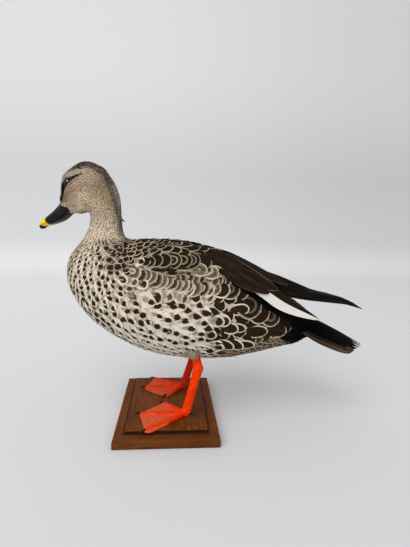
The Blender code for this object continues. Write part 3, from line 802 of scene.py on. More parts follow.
def vanes(line, up, half, low, high, across, rows, dome=0.12, curve=0.0, power=2.0, fray=0.04, lean=0.0,
          solid=0.02, body=0.5):
    """Closed thin vanes of many feathers: points, faces, place on the vane, depth in from the rim, facing.

    Each runs along its line, facing up, with its root low over it and its tip high. It sags to the sides by
    dome and curve, leans to one side, and is solid thick.
    """
    count = len(line)
    along, wide = vane_outline(rows, power, body)
    centre = spline(line, along)
    normal = unit(spline(up, along))
    ahead = unit(np.gradient(centre, axis=1))
    side = unit(np.cross(normal, ahead))
    u = np.linspace(-1, 1, across)
    reach = half[:, None, None]
    x = reach * wide[:, None] * (u + lean * (1 - np.abs(u)))
    rise = low[:, None, None] + (high - low)[:, None, None] * along[:, None]
    rise = rise - dome * reach * (u * u) - 0.5 * np.reshape(curve, (-1, 1, 1)) * x * x
    length = np.linalg.norm(line[:, -1] - line[:, 0], axis=1)
    tooth = np.where(np.arange(across) % 2, 0.6, -0.6) + chance.uniform(-0.7, 0.7, (count, 1, across))
    ragged = fray * length[:, None, None] * tooth * ramp(0.35, 1, along)[:, None]
    sheet = centre[:, :, None] + side[:, :, None] * x[..., None] + normal[:, :, None] * rise[..., None]
    sheet = sheet + ahead[:, :, None] * ragged[..., None]
    facing = unit(np.cross(np.gradient(sheet, axis=1), np.gradient(sheet, axis=2)))
    facing = facing * np.sign((facing * normal[:, :, None]).sum(-1, keepdims=True) + 1e-9)
    at, facing = sheet.reshape(count, -1, 3), facing.reshape(count, -1, 3)
    cell = np.arange(rows * across).reshape(rows, across)
    inner = cell[1:-1, 1:-1].ravel()
    below = cell.copy()
    below[1:-1, 1:-1] = (rows * across + np.arange(len(inner))).reshape(rows - 2, across - 2)
    faces = np.concatenate([grid_faces(cell)[:, TURNED_OVER], grid_faces(below)])
    grid = np.stack(np.broadcast_arrays((u[None] + 1) / 2, along[:, None]), -1).reshape(-1, 2)
    rim = rim_depth(half, length, along, wide, u)
    return (
        np.concatenate([at, at[:, inner] - facing[:, inner] * solid], 1), faces,
        np.concatenate([grid, grid[inner]]), np.concatenate([rim, rim[:, inner]], 1),
        np.concatenate([facing, -facing[:, inner]], 1),
    )


def feather_mesh(name, shape, root_uv, patch, data):
    """One mesh of all the feathers, with what their materials read and each one's patch of the coat's map."""
    at, faces, grid, rim, facing = shape
    count, size = at.shape[:2]
    all_faces = (faces[None] + (np.arange(count) * size)[:, None, None]).reshape(-1, 4)
    mesh = mesh_of(name, at.reshape(-1, 3), all_faces)
    mesh.normals_split_custom_set_from_vertices(facing.reshape(-1, 3))
    add_uv(mesh, "Vane", np.tile(grid, (count, 1)))
    spread_out = (grid - 0.5)[None] * np.reshape(patch, (-1, 1, 1))
    add_uv(mesh, "OFBake", (root_uv[:, None] + spread_out).reshape(-1, 2))
    add_data(mesh, "rim", rim.reshape(-1))
    for key, values in data.items():
        add_data(mesh, key, values if len(values) == count * size else np.repeat(values, size, 0))
    return mesh


def more(count, base, shaft):
    """How dark the covered base is, partly the greyer down there and partly painted shade under the
    overlapping feathers; how clear the shaft is, and a number of the feather's own.
    """
    return np.stack([np.full(count, base), np.full(count, shaft), chance.random(count)], 1)


def column(rows_of, key):
    return np.array([row[key] for row in rows_of])


def chosen(mask, *values):
    return [value[mask] for value in values]


def evened(line, ups):
    """Feather lines drawn through their stations as plain curves, so that no vane buckles."""
    t = np.linspace(-1, 1, line.shape[1])
    even = np.stack([t ** 0, t, t * t], 1)
    even = even @ np.linalg.pinv(even)
    return np.einsum("st,ntc->nsc", even, line), unit(np.einsum("st,ntc->nsc", even, ups))


def roundness(line, ups, half):
    """How strongly the body curves away under each feather, side to side."""
    middle = line.shape[1] // 2
    side = np.cross(ups[:, middle], unit(line[:, middle] - line[:, middle - 1]))
    _, left = settle(line[:, middle] + side * half[:, None] * 0.8)
    _, right = settle(line[:, middle] - side * half[:, None] * 0.8)
    return np.clip(((left - right) * side).sum(1) / (1.6 * half), -0.1, 0.5)


def march(roots, long, steps, sway=0.0):
    """Lines over the skin from the roots, along the lie of the coat."""
    at, up = settle(roots)
    line, ups = [at], [up]
    for _ in range(steps - 1):
        at, up = settle(at + lie(at, up, sway) * (long / (steps - 1))[:, None])
        line.append(at)
        ups.append(up)
    return np.stack(line, 1), np.stack(ups, 1)


def grow(name, group, surface, slot, across, rows, steps, fray, base=0.2):
    """Feathers on the skin, from their roots along the lie of the coat."""
    at, size = roots[group], root_size[group]
    count = len(at)
    long = size * length_share[group] * chance.uniform(0.92, 1.08, count)
    half = size * 0.8 * chance.uniform(0.94, 1.06, count)
    line, ups = evened(*march(at, long, steps, chance.normal(0, 0.06, count)))
    if name == "coat_head":
        place = in_head(line)
        eye_gap = np.hypot(place[..., 0] - EYE[0], place[..., 2] - EYE[2]) + 9 * (np.abs(place[..., 1]) < 0.8)
        at, size, half, line, ups = chosen(eye_gap.min(1) > 0.46, at, size, half, line, ups)
    seen = line[:, -1] * 0.6 + line[:, -2] * 0.4
    m = markings(seen + chance.normal(0, 0.12, (len(at), 3)) * ramp(26.5, 24.5, at[:, 2:3]))
    a, b = m["a"], m["b"]
    laid = (a > -3.6) & (a < 9.5) & (b > 17.6) & (b < wing_line(a) + 0.25) & ((m["back"] < 0.9) | (a > 4.5))
    clear = ((m["tucked"] < 0.6) | (a < 9.6)) & ~laid
    at, size, half, line, ups, a, b = chosen(clear, at, size, half, line, ups, a, b)
    m = {key: value[clear] for key, value in m.items()}
    count = len(at)
    depth = coat_depth(at)
    high = depth * chance.uniform(0.75, 1.02, count)
    if name == "coat_head":
        high = high + 0.05 + 0.07 * m["dark_top"]
    over_middle = m["back"] * ramp(-2.5, -1.8, a) * ramp(23.2, 22.6, b)
    covered = m["rear"] * ramp(6.5, 7.5, a) + m["banded"] + over_middle
    high = high * (1 - 0.6 * np.clip(covered, 0, 1))
    curve = roundness(line, ups, half)
    shape = vanes(line, ups, half, -0.25 * depth, high, across, rows, 0.08, curve, fray=fray, body=0.58)
    vary = chance.uniform(0.85, 1.15, (count, 1))
    mark = m["mark"] * chance.uniform(0.75, 1.25, (count, 3))
    mark[:, 2] = m["mark"][:, 2] + chance.normal(0, 0.02, count)
    edge = m["edge"] * chance.uniform(0.8, 1.2, (count, 3))
    if name in ("coat_head", "coat_neck"):
        m = markings(shape[0].reshape(-1, 3))
        vary = np.repeat(vary, shape[0].shape[1], 0)
        ground, spot = m["ground"] * (0.5 + 0.5 * vary), m["spot"] * (0.5 + 0.5 * vary)
    else:
        ground, spot = m["ground"] * (0.5 + 0.5 * vary), m["spot"] * vary
    data = {"ground": ground, "spot": spot, "mark": mark, "edge": edge, "more": more(count, base, 0.3)}
    patch = np.clip(0.006 * size, 0.0025, 0.012)
    piece(name, feather_mesh(name, shape, unwrap(at), patch, data), surface, slot)


OUTSIDE = 13.0  # off the mid-plane, clear of the body


def on_flank(a, b, side):
    """The skin's place and facing seen at (along, height); side is -1 for the left flank, 1 for the right."""
    far, near = Vector(stand(a, b, OUTSIDE * side)), Vector(stand(a, b, 0.0))
    hit = skin.ray_cast(far, near - far, OUTSIDE + 0.5)
    if hit[0] is None:
        hit = skin.find_nearest(Vector(stand(a, b, 2.5 * side)))
    return np.array(hit[0]), face_normals[hit[2]]


def lay(name, rows_of, surface, slot, base=0.3):
    """Large feathers set one by one on both flanks, from rows as in SHOULDER."""
    lines, facings = [], []
    for a, b, heading, long, _, _, _ in rows_of:
        turn = math.radians(heading)
        for side in (-1, 1):
            back = (1 - np.linspace(0, 1, 7)) * long
            stations = [on_flank(a - s * math.cos(turn), b - s * math.sin(turn), side) for s in back]
            lines.append([p for p, _ in stations])
            facings.append([n for _, n in stations])
    line, ups = evened(np.array(lines), np.array(facings))
    count = len(line)
    half, kinds, lift = zip(*[row[4:] for row in rows_of for _ in range(2)])
    half, lift = np.array(half), np.array(lift)
    depth = coat_depth(line[:, 0])
    curve = roundness(line, ups, half)
    high = depth * (1.12 + lift)
    shape = vanes(line, ups, half, -0.3 * depth, high, 17, 20, 0.09, curve, 2.1, 0.006, body=0.62)
    vary = chance.uniform(0.88, 1.12, (count, 1))
    stretch = np.stack([*chance.uniform(0.72, 1.2, (2, count)), np.ones(count)], 1)
    data = {
        "ground": column(kinds, "ground") * vary, "spot": column(kinds, "spot") * vary,
        "mark": column(kinds, "mark") * stretch,
        "edge": column(kinds, "edge") * chance.uniform(0.8, 1.15, (count, 3)),
        "more": more(count, base, 0.25),
    }
    piece(name, feather_mesh(name, shape, unwrap(line[:, 0]), np.full(count, 0.01), data), surface, slot)


def skin_material():
    n = Nodes("skin under the coat", 0.8, 0.2)
    n.colour(n.blend(n.step(n.cells(n.place(), 110.0), 0.5, 0.3), n.data("ground"), n.data("spot")))
    return n.surface


soft = plumage("soft feathers", 0.9)
face_soft = plumage("face feathers", 0.9, 0.2, 9.0, 0.5, 0.7)
firm = plumage("firm feathers", 0.8, 0.12, 22.0, 0.4, 0.8, 0.8)

skin_marks = markings(points)
add_uv(skin_mesh, "OFBake", unwrap(points))
# The skin's colour is the coat's ground darkened to 0.8, as painted shade where it shows between the
# feathers.
add_data(skin_mesh, "ground", skin_marks["ground"] * 0.8)
add_data(skin_mesh, "spot", skin_marks["spot"])
skin_mesh.shade_smooth()
skin_mesh.name = "skin"
piece(
    "skin", skin_mesh, skin_material(), "spotted_plumage", "trunk", "neck", "head", "wing_left", "wing_right",
)

roots = scatter()
root_marks = markings(roots)
root_size = root_marks["size"]
length_share = 2.35 + 0.6 * root_marks["neck"] + 0.5 * root_marks["rump"]
tips, _ = march(roots, root_size * length_share, 3)
where = markings(0.8 * tips[:, 2] + 0.2 * tips[:, 1])

# No small feather grows at the bill's edge or under the long feathers of the wing.
forward, _, up = in_head(roots).T
bill_edge = np.interp(up, (-2.3, -1.5, -0.95, -0.2, 0.4, 0.9), (3.5, 3.15, 3.3, 3.75, 4.3, 4.5))
at_bill = (forward > bill_edge) & (roots[:, 2] > 26)
off_middle = np.abs(roots[:, 1])
a, b = where["a"], where["b"]
over_wing = np.interp(a, (7.5, 8.6, 10.8, 13.0, 15.5, 19.0), (24.0, 22.9, 21.9, 20.4, 18.8, 17.4))
wing_top = (a > 9.8) & (b > wing_line(a) - 0.2) & (b < over_wing) & (off_middle > 0.8) & (b > 13.5)
a, b = root_marks["a"], root_marks["b"]
wing_end = (a > 14.0) & (off_middle > 0.7) & (b > np.interp(a, (14, 16, 18, 22), (16.6, 15.0, 14.2, 13.6)))
keep = ~(at_bill | wing_top | wing_end)
tiny = keep & (root_marks["neck"] > 0.55)
dorsal = keep & ~tiny & (where["back"] > 0.5)
tail_end = keep & ~tiny & ~dorsal & (where["rump"] > 0.5)
rest = keep & ~tiny & ~dorsal & ~tail_end
scalloped = rest & (where["edge"][:, 0] > 0.08) & (where["edge"][:, 2] < 0.4)
big = rest & ~scalloped & (root_size > 1.15)
small = rest & ~scalloped & ~big
on_left = roots[:, 1] < 0
high_up = roots[:, 2] > 29.6
# The shape: points across and along a feather, its steps, its fray and how dark its covered base is, partly
# down and partly painted shade.
for name, group, surface, slot, shape in (
    ("coat_head", tiny & high_up, face_soft, "face_plumage", (3, 5, 4, 0.06, 0.3)),
    ("coat_neck", tiny & ~high_up, face_soft, "face_plumage", (3, 5, 4, 0.06, 0.3)),
    ("coat_breast_left", small & on_left, soft, "spotted_plumage", (7, 8, 5, 0.07)),
    ("coat_breast_right", small & ~on_left, soft, "spotted_plumage", (7, 8, 5, 0.07)),
    ("coat_flank_left", big & on_left, soft, "spotted_plumage", (11, 11, 6, 0.04)),
    ("coat_flank_right", big & ~on_left, soft, "spotted_plumage", (11, 11, 6, 0.04)),
    ("coat_rear_flank", scalloped, firm, "spotted_plumage", (11, 12, 6, 0.01)),
    ("coat_back", dorsal, firm, "dark_plumage", (9, 11, 6, 0.012, 0.4)),
    ("coat_rump", tail_end, firm, "black_plumage", (7, 9, 6, 0.03)),
):
    grow(name, group, surface, slot, *shape)


# -------------------------------------------------- the large feathers of the flank and shoulder

def look(ground, spot, fringe, period=1.0, ring=0.0, mark=ALL_OVER):
    """A kind of feather: its two colours, and the fringe, inner band and mark as in markings."""
    return {"ground": ground, "spot": spot, "edge": (fringe, period, ring), "mark": mark}


REAR = look((0.53, 0.435, 0.31), (0.022, 0.012, 0.007), 0.18)
REAR_RINGED = look((0.53, 0.44, 0.315), (0.022, 0.012, 0.007), 0.18, 0.8, 0.3)
REAR_PALE = look((0.68, 0.60, 0.47), (0.026, 0.015, 0.009), 0.2)
THIN = look((0.42, 0.34, 0.24), (0.012, 0.008, 0.006), 0.12)
NESTED = look((0.32, 0.26, 0.16), DEEP, 0.16, 0.5, 0.8)
PLAIN = look((0.33, 0.265, 0.175), (0.018, 0.010, 0.007), 0.14)
# Near-black thin feathers laid along the fold under the shoulder feathers, as painted shade for the shadow
# gap there.
PAINTED_SHADE_GAP = look((0.05, 0.04, 0.028), (0.012, 0.009, 0.007), 0.05)
CRESCENT = look((0.53, 0.45, 0.33), (0.042, 0.025, 0.014), 0.18, 0.62, 0.8, (1.2, 0.55, 0.66))
SOFT_CRESCENT = look((0.54, 0.465, 0.35), (0.095, 0.066, 0.038), 0.20, 0.7, 0.85, (1.2, 0.5, 0.68))
GREY_CRESCENT = look((0.58, 0.51, 0.41), (0.085, 0.06, 0.04), 0.22, 1.0, 0.0, (0.8, 0.16, 0.84))
ROUND = look((0.66, 0.59, 0.47), (0.030, 0.018, 0.011), 0.22, 1.0, 0.0, (0.85, 0.27, 0.80))
BLACK_PLAIN = look(BLACK, BLACK, -0.2)
# Large feathers: tip along, tip height, heading in degrees, length, half width, look, extra lift.
SHOULDER = (
    (5.9, 21.7, -18, 4.4, 1.45, PLAIN, 0.13), (4.3, 21.9, -16, 4.0, 1.35, NESTED, 0.15),
    (3.15, 21.95, -14, 3.6, 1.25, NESTED, 0.16), (1.7, 21.95, -12, 3.4, 1.2, NESTED, 0.15),
    (0.3, 22.0, -12, 3.2, 1.05, PLAIN, 0.12), (-0.9, 21.95, -14, 2.8, 0.95, PLAIN, 0.09),
    # The last three are the near-black strips of painted shade under the shoulder feathers.
    (-1.95, 21.7, -18, 2.6, 0.85, PLAIN, 0.06), (2.7, 20.95, -6, 3.0, 0.22, PAINTED_SHADE_GAP, 0.14),
    (1.0, 20.8, -4, 2.8, 0.24, PAINTED_SHADE_GAP, 0.14), (-0.5, 20.75, -6, 2.6, 0.24, PAINTED_SHADE_GAP, 0.12),
)
FLANK_REAR = (
    (17.75, 12.5, -18, 4.6, 1.75, THIN, 0.0), (17.1, 12.1, -8, 4.4, 1.35, REAR, 0.1),
    (15.85, 13.5, -36, 4.2, 1.5, REAR_RINGED, 0.15), (14.25, 14.0, -38, 4.4, 1.7, REAR, 0.2),
    (14.3, 12.1, 3, 4.2, 0.95, REAR, 0.22), (13.1, 15.0, -30, 4.6, 1.85, REAR_RINGED, 0.26),
    (12.5, 10.1, 0, 3.6, 0.8, REAR_PALE, 0.2), (11.25, 17.4, -30, 4.6, 1.65, REAR, 0.26),
    (11.1, 12.5, -4, 3.2, 0.7, REAR, 0.26), (11.45, 15.45, 8, 3.2, 0.8, REAR_PALE, 0.36),
    (10.75, 9.65, -24, 3.4, 0.85, REAR_PALE, 0.22), (10.0, 12.4, -6, 3.2, 0.85, REAR_PALE, 0.3),
    (9.95, 17.65, -25, 4.2, 1.45, REAR_RINGED, 0.3), (9.4, 9.65, -20, 3.2, 0.8, REAR_PALE, 0.26),
    (8.8, 13.4, -14, 3.2, 0.9, ROUND, 0.34), (8.6, 17.9, -14, 3.6, 1.2, REAR_PALE, 0.34),
    (8.05, 9.7, -6, 3.0, 0.75, ROUND, 0.28), (7.95, 13.4, -10, 3.2, 0.85, ROUND, 0.38),
    (6.75, 9.2, -6, 3.0, 0.75, ROUND, 0.26), (6.9, 11.5, -8, 3.0, 0.8, ROUND, 0.34),
)
COVERTS = (
    (19.6, 14.2, 4, 4.2, 0.8, BLACK_PLAIN, 0.3), (19.0, 13.4, -4, 4.2, 0.95, BLACK_PLAIN, 0.3),
    (18.6, 12.4, -10, 4.0, 0.95, BLACK_PLAIN, 0.25), (18.4, 11.5, -6, 3.8, 0.8, BLACK_PLAIN, 0.2),
    (21.0, 13.3, -10, 4.4, 0.9, BLACK_PLAIN, 0.2),
)
# Rows of soft banded feathers: first and last tip, gap, heading, half width, first lift, looks in turn.
UPPER_FLANK = (
    ((6.4, 16.7), (-1.0, 16.6), 1.5, -20, 0.95, 0.06, (GREY_CRESCENT, ROUND, GREY_CRESCENT)),
    ((-3.0, 18.3), (-5.6, 18.9), 1.0, -30, 0.8, 0.10, (ROUND, GREY_CRESCENT)),
    ((7.4, 17.9), (3.4, 17.5), 0.95, -30, 1.15, 0.10, (SOFT_CRESCENT, GREY_CRESCENT, CRESCENT)),
    ((3.4, 18.3), (-3.9, 20.0), 0.74, -24, 1.15, 0.12, (CRESCENT, SOFT_CRESCENT, SOFT_CRESCENT)),
    ((7.6, 20.45), (5.2, 20.85), 0.8, -14, 0.85, 0.02, (CRESCENT, SOFT_CRESCENT)),
    ((8.6, 19.4), (1.7, 19.95), 0.80, -10, 1.15, 0.10, (CRESCENT, CRESCENT, SOFT_CRESCENT)),
)


def upper_flank_rows():
    """The feathers of those rows, each a little off its place and turned a little."""
    shift, found = np.random.default_rng(11), []
    for first, last, gap, heading, half, lift, kinds in UPPER_FLANK:
        first, last = np.array(first), np.array(last)
        count = int(np.linalg.norm(last - first) / gap)
        for k in range(count + 1):
            a, b = first + (last - first) * k / count
            x, y, turned = shift.normal(0, (0.10, 0.12, 4))
            kind = kinds[k % len(kinds)]
            found.append((a + x, b + y, heading + turned, 3.1, half + 0.6 * x, kind, lift + 0.003 * k))
    return found


soft_large = plumage("large soft feathers", 0.9, 0.26, 15.0, 0.5, 0.9, 1.4)
lay("rear_flank_feathers", FLANK_REAR, firm, "spotted_plumage")
# The upper flank's feathers get the full darkening of their covered bases, as painted shade under the rows
# above them.
lay("upper_flank_feathers", upper_flank_rows(), soft_large, "spotted_plumage", 1.0)
lay("shoulder_feathers", SHOULDER, firm, "dark_plumage")
lay("tail_coverts", COVERTS, firm, "black_plumage")


def fringe_of(name, lines, ups, half, high, ground, spot, surface, slot):
    """Small separate feathers given by their lines: the cuffs of the legs and the ruffled nape."""
    line, up = evened(np.array(lines, float), np.array(ups, float))
    count = len(line)
    one = np.ones((count, 1))
    half, low, high = np.full(count, half), np.zeros(count), np.full(count, high)
    shape = vanes(line, up, half, low, high, 7, 9, 0.1, fray=0.07, solid=0.015)
    data = {
        "ground": ground * chance.uniform(0.85, 1.1, (count, 1)), "spot": spot * one,
        "mark": (0.4, 0.16, 0.8) * one, "edge": (-0.2, 1.0, 0.0) * one, "more": more(count, 0.0, 0.2),
    }
    piece(name, feather_mesh(name, shape, unwrap(line[:, 0]), np.full(count, 0.004), data), surface, slot)


def leg_cuffs():
    """Three rings of short feathers where each leg leaves the belly."""
    lines, ups = [], []
    t = np.linspace(0, 1, 5)
    for x, y in ((3.25, -4.2), (3.35, 3.6)):
        for level, count in ((0.0, 15), (0.2, 13), (0.4, 11)):
            for angle in circle(count) + level:
                out = np.array((math.cos(angle), math.sin(angle), 0))
                low = 9.6 + level + 0.15 * math.cos(3 * angle)
                wide = 0.62 + 0.12 * level + 0.24 * np.sin(math.pi * t * 0.8)
                drop = np.stack([np.full(5, x), np.full(5, y), low + 0.8 * (1 - t)], 1)
                lines.append(drop + out * wide[:, None])
                ups.append([out + (0, 0, 0.05)] * 5)
    colours = np.array((0.30, 0.235, 0.175)), np.array((0.10, 0.07, 0.05))
    fringe_of("leg_cuffs", lines, ups, 0.21, 0.06, *colours, soft, "spotted_plumage")


def nape_tuft():
    """Five feathers that stand off the hind neck's foot."""
    lines, ups = [], []
    for y in (-0.5, -0.3, -0.1, 0.1, 0.3):
        tip = (-6.05 - abs(y), y * 1.4, 27.42)
        lines.append([(-7.15, y, 28.35), (-6.75, y, 27.95), (-6.4, y, 27.65), tip])
        ups.append([(0.75, y, 0.66)] * 4)
    colours = np.array((0.16, 0.12, 0.085)), np.array((0.03, 0.02, 0.015))
    fringe_of("nape_tuft", lines, ups, 0.24, 0.05, *colours, face_soft, "face_plumage")


leg_cuffs()
nape_tuft()


# -------------------------------------------------- flight feathers and tail

def long_feathers(name, rows_of, surface, slot, *nodes):
    """Pairs of long feathers, from rows of line and facing points, half width, colours, lift and the like."""
    shapes, kinds, hands, starts = [], [], [], []
    for row in rows_of:
        for side in (1, -1):
            flip = (1, side, 1)
            line = smooth_keys(np.asarray(row["line"], float) * flip, 9)
            up = unit(smooth_keys(np.asarray(row["up"], float) * flip, 9))
            half, lift = np.array([row["half"]]), np.array([row["lift"]])
            shapes.append(vanes(
                line[None], up[None], half, lift, lift, 17, 34, row.get("dome", 0.12), power=row["power"],
                fray=row.get("fray", 0.003), lean=row.get("lean", 0.0) * side, solid=0.03,
            ))
            kinds.append(row)
            hands.append(side)
            starts.append(line[0])
    shape = tuple(shapes[0][i] if i in (1, 2) else np.concatenate([m[i] for m in shapes]) for i in range(5))
    webs = [(row.get("white", 0.0), -hand, row.get("edge", 0.0)) for row, hand in zip(kinds, hands)]
    data = {
        "ground": column(kinds, "ground"), "spot": column(kinds, "spot"), "more": more(len(kinds), 0.0, 0.8),
        "web": np.array(webs),
    }
    piece(name, feather_mesh(name, shape, unwrap(np.array(starts)), 0.012, data), surface, slot, *nodes)


def flight_material():
    """Dark vanes with a pale hairline edge, and a white outer web where the feather has one."""
    n = Nodes("long wing feathers", 0.7, 0.03)
    across, side, along, seed, barb = vane_places(n, 0.12, 1.5, 90.0, 0.6)
    white, hand, edge = (n.data("web", i) for i in range(3))
    cloud = n.noise(n.vector(n.times(across, 2.0), n.times(along, 4.0), seed), 1.0)
    colour = n.blend(n.step(cloud, 0.35, 0.7), n.data("spot"), n.data("ground"))
    limit = n.linear(barb, 0.10, 0.02)
    web = n.times(n.step(n.times(across, hand), limit, n.plus(limit, 0.06)), white)
    colour = n.blend(web, colour, (0.74, 0.73, 0.66))
    rim = n.times(n.step(n.data("rim", "value"), 0.07, 0.04), n.times(edge, n.step(along, 0.35, 0.5)))
    colour = n.shaded(n.blend(rim, colour, (0.30, 0.22, 0.15)), n.linear(barb, 0.7, 0.65))
    shaft = n.step(side, 0.05, 0.02)
    n.colour(n.blend(n.times(shaft, n.minus(0.7, n.times(web, 0.6))), colour, (0.02, 0.012, 0.008)))
    n.bump(n.plus(n.times(barb, 0.4), shaft), 0.4, 0.0005)
    return n.surface


flight = flight_material()
OUT, BROWN, DARK_BROWN = (-0.05, -0.85, 0.5), (0.028, 0.016, 0.011), (0.012, 0.0075, 0.005)
OUT_ALONG = (OUT, OUT, OUT, (0.05, -0.8, 0.6))
BACK_UP = (0, -0.5, 0.85)
BACK_ALONG = (BACK_UP, BACK_UP, (0.15, -0.5, 0.85), (0.25, -0.5, 0.85))
TERTIALS = (  # the line's points as along, height and place off the mid-plane; half width; facing; the rest
    (((5.5, 23.6, -2.7), (9.0, 22.55, -2.8), (12.4, 21.0, -2.6), (17.0, 18.9, -2.2)), 1.25, BACK_ALONG,
     {"lift": 0.22, "edge": 0.3, "power": 1.6}),
    (((8, 20.3, -5.2), (12.5, 17.75, -5.0), (15.8, 15.45, -4.3), (18.6, 13.75, -3.4)), 0.9, OUT_ALONG,
     {"ground": BLACK, "spot": BLACK, "lift": -0.1, "power": 1.8}),
    (((9.4, 20.4, -5.0), (14.0, 17.95, -4.9), (17.2, 16.0, -4.4), (22.2, 13.8, -3.3)), 1.2, OUT_ALONG,
     {"white": 1.0, "lift": 0.08, "power": 1.25, "lean": 0.18}),
    (((7.0, 20.9, -5.1), (9.2, 20.0, -5.3), (11.5, 18.85, -5.3), (14.4, 17.7, -5.0)), 0.85, OUT_ALONG,
     {"lift": 0.2, "power": 2.1, "edge": 0.3}),
    (((5.0, 23.0, -4.7), (8.6, 21.6, -4.9), (12.2, 19.7, -4.7), (15.65, 18.15, -4.2)), 1.15, OUT_ALONG,
     {"lift": 0.26, "edge": 0.8, "power": 1.6}),
)


def tertials():
    """The dark feathers over the folded wing and a white one among them, their roots clear of the skin."""
    rows_of = []
    for line, half, up, extra in TERTIALS:
        line = [(a, b, min(y, on_flank(a, b, -1)[0][1] - 0.2) if a < 13 else y) for a, b, y in line]
        row = {"line": [stand(*p) for p in line], "up": up, "half": half, "ground": BROWN, "spot": DARK_BROWN}
        rows_of.append(row | extra)
    return rows_of


def primary(k):
    """The k-th long feather of the wing's tip, 0 the lowest and longest."""
    s = k / 6
    return {
        "line": (
            (8.0, -2.9 + 1.9 * s, 21.2 + 1.7 * s), (15.5, -2.5 + 1.9 * s, 18.45 + 1.85 * s),
            (21.3 - 0.8 * s, -1.5 + 0.9 * s, 17.5 + 0.8 * s),
            (25.4 - 2.4 * s, -0.9 + 0.4 * s, 16.85 + 0.9 * s),
            (28.35 - 4.6 * s ** 0.7, -0.5 - 0.1 * s, 15.65 + 1.9 * s ** 0.45),
        ),
        "up": (
            (0, -0.8 + 0.2 * s, 0.6), (0, -0.8 + 0.25 * s, 0.6), (0.1, -0.8 + 0.3 * s, 0.55),
            (0.2, -0.75, 0.6), (0.3, -0.75, 0.6),
        ),
        "half": 0.66 - 0.10 * s, "ground": (0.012, 0.009, 0.007), "spot": (0.003, 0.0025, 0.0025),
        "lift": -0.04 * k, "power": 1.1, "edge": 0.12, "dome": 0.2,
    }


def tail_feather(k):
    """The k-th pair of the tail, 0 in the middle and 8 outermost."""
    s = k / 8
    reach = 28.5 - 2.5 * s ** 1.2 - 0.4 * (k % 2)
    brown = min(1.0, max(0.0, (s - 0.8) * 5))
    return {
        "line": (
            (17.2, -0.3 - 1.2 * s, 14.3 - 0.3 * s), (20.5, -0.15 - 2.4 * s, 13.9 - 1.85 * s * s),
            (24.5, -0.15 - 3.1 * s, 12.1 - 1.6 * s * s), (reach, -0.2 - 3.3 * s, 9.9 + 0.5 * s),
        ),
        "up": (
            (0.2, -0.1 - 0.6 * s, 0.9), (0.35, -0.1 - 0.75 * s, 0.85), (0.4, -0.1 - 0.8 * s, 0.85),
            (0.4, -0.1 - 0.7 * s, 0.85),
        ),
        "ground": tuple(mix((0.003, 0.0025, 0.0025), (0.085, 0.056, 0.04), brown)),
        "spot": tuple(mix((0.0015, 0.0015, 0.0015), (0.025, 0.015, 0.010), brown)),
        "half": 0.8, "lift": 0.32 - 0.04 * k, "power": 1.35, "edge": 0.9 * brown, "fray": 0.007,
    }


long_feathers("tertials", tertials(), flight, "dark_plumage")
long_feathers(
    "primaries", [primary(k) for k in range(7)], flight, "black_plumage", "flight_feathers_left",
    "flight_feathers_right",
)
long_feathers("tail_feathers", [tail_feather(k) for k in range(9)], flight, "black_plumage", "tail")


# -------------------------------------------------- bill

def bill_material():
    """Black horn with a brown lower edge, a yellow tip and a black nail."""
    n = Nodes("horn of the bill", 0.38, 0.08)
    forward, _, up = n.parts(n.data("where"))
    along = n.plus(forward, n.linear(n.noise(n.place(), 260.0, 3.0), 0.5, -0.25))
    yellow = n.step(along, 7.15, 7.4)
    nail = n.times(n.step(along, 8.15, 8.35), n.step(up, -0.1, -0.4))
    tone = n.noise(n.place(), 180.0, 4.0)
    horn = n.blend(tone, (0.003, 0.004, 0.006), (0.012, 0.012, 0.015))
    lip = n.times(n.step(up, -0.55, -0.85), n.step(forward, 5.0, 6.5))
    horn = n.blend(n.times(lip, 0.6), horn, (0.16, 0.075, 0.03))
    gold = n.blend(tone, (0.72, 0.48, 0.004), (0.92, 0.68, 0.010))
    n.colour(n.blend(nail, n.blend(yellow, horn, gold), (0.008, 0.006, 0.005)))
    n.bump(tone, 0.15, 0.0006)
    return n.surface


# Stations of the bill's two halves on the head's axes: forward, top, bottom, half width.
UPPER = (
    (2.6, 0.95, -1.72, 1.36), (3.4, 0.78, -1.62, 1.36), (4.1, 0.52, -1.60, 1.20), (4.9, 0.26, -1.60, 1.02),
    (6.0, 0.04, -1.55, 0.95), (7.4, -0.12, -1.22, 1.06), (8.2, -0.25, -1.02, 1.08),
    (8.72, -0.42, -1.08, 0.82), (8.98, -0.60, -1.05, 0.42),
)
LOWER = (
    (2.6, -1.15, -1.25, 0.50), (3.6, -1.30, -1.57, 0.72), (5.0, -1.35, -1.76, 0.84),
    (6.0, -1.25, -1.72, 0.80), (7.4, -1.02, -1.36, 0.82), (8.2, -0.93, -1.12, 0.66),
    (8.5, -0.90, -1.04, 0.42),
)


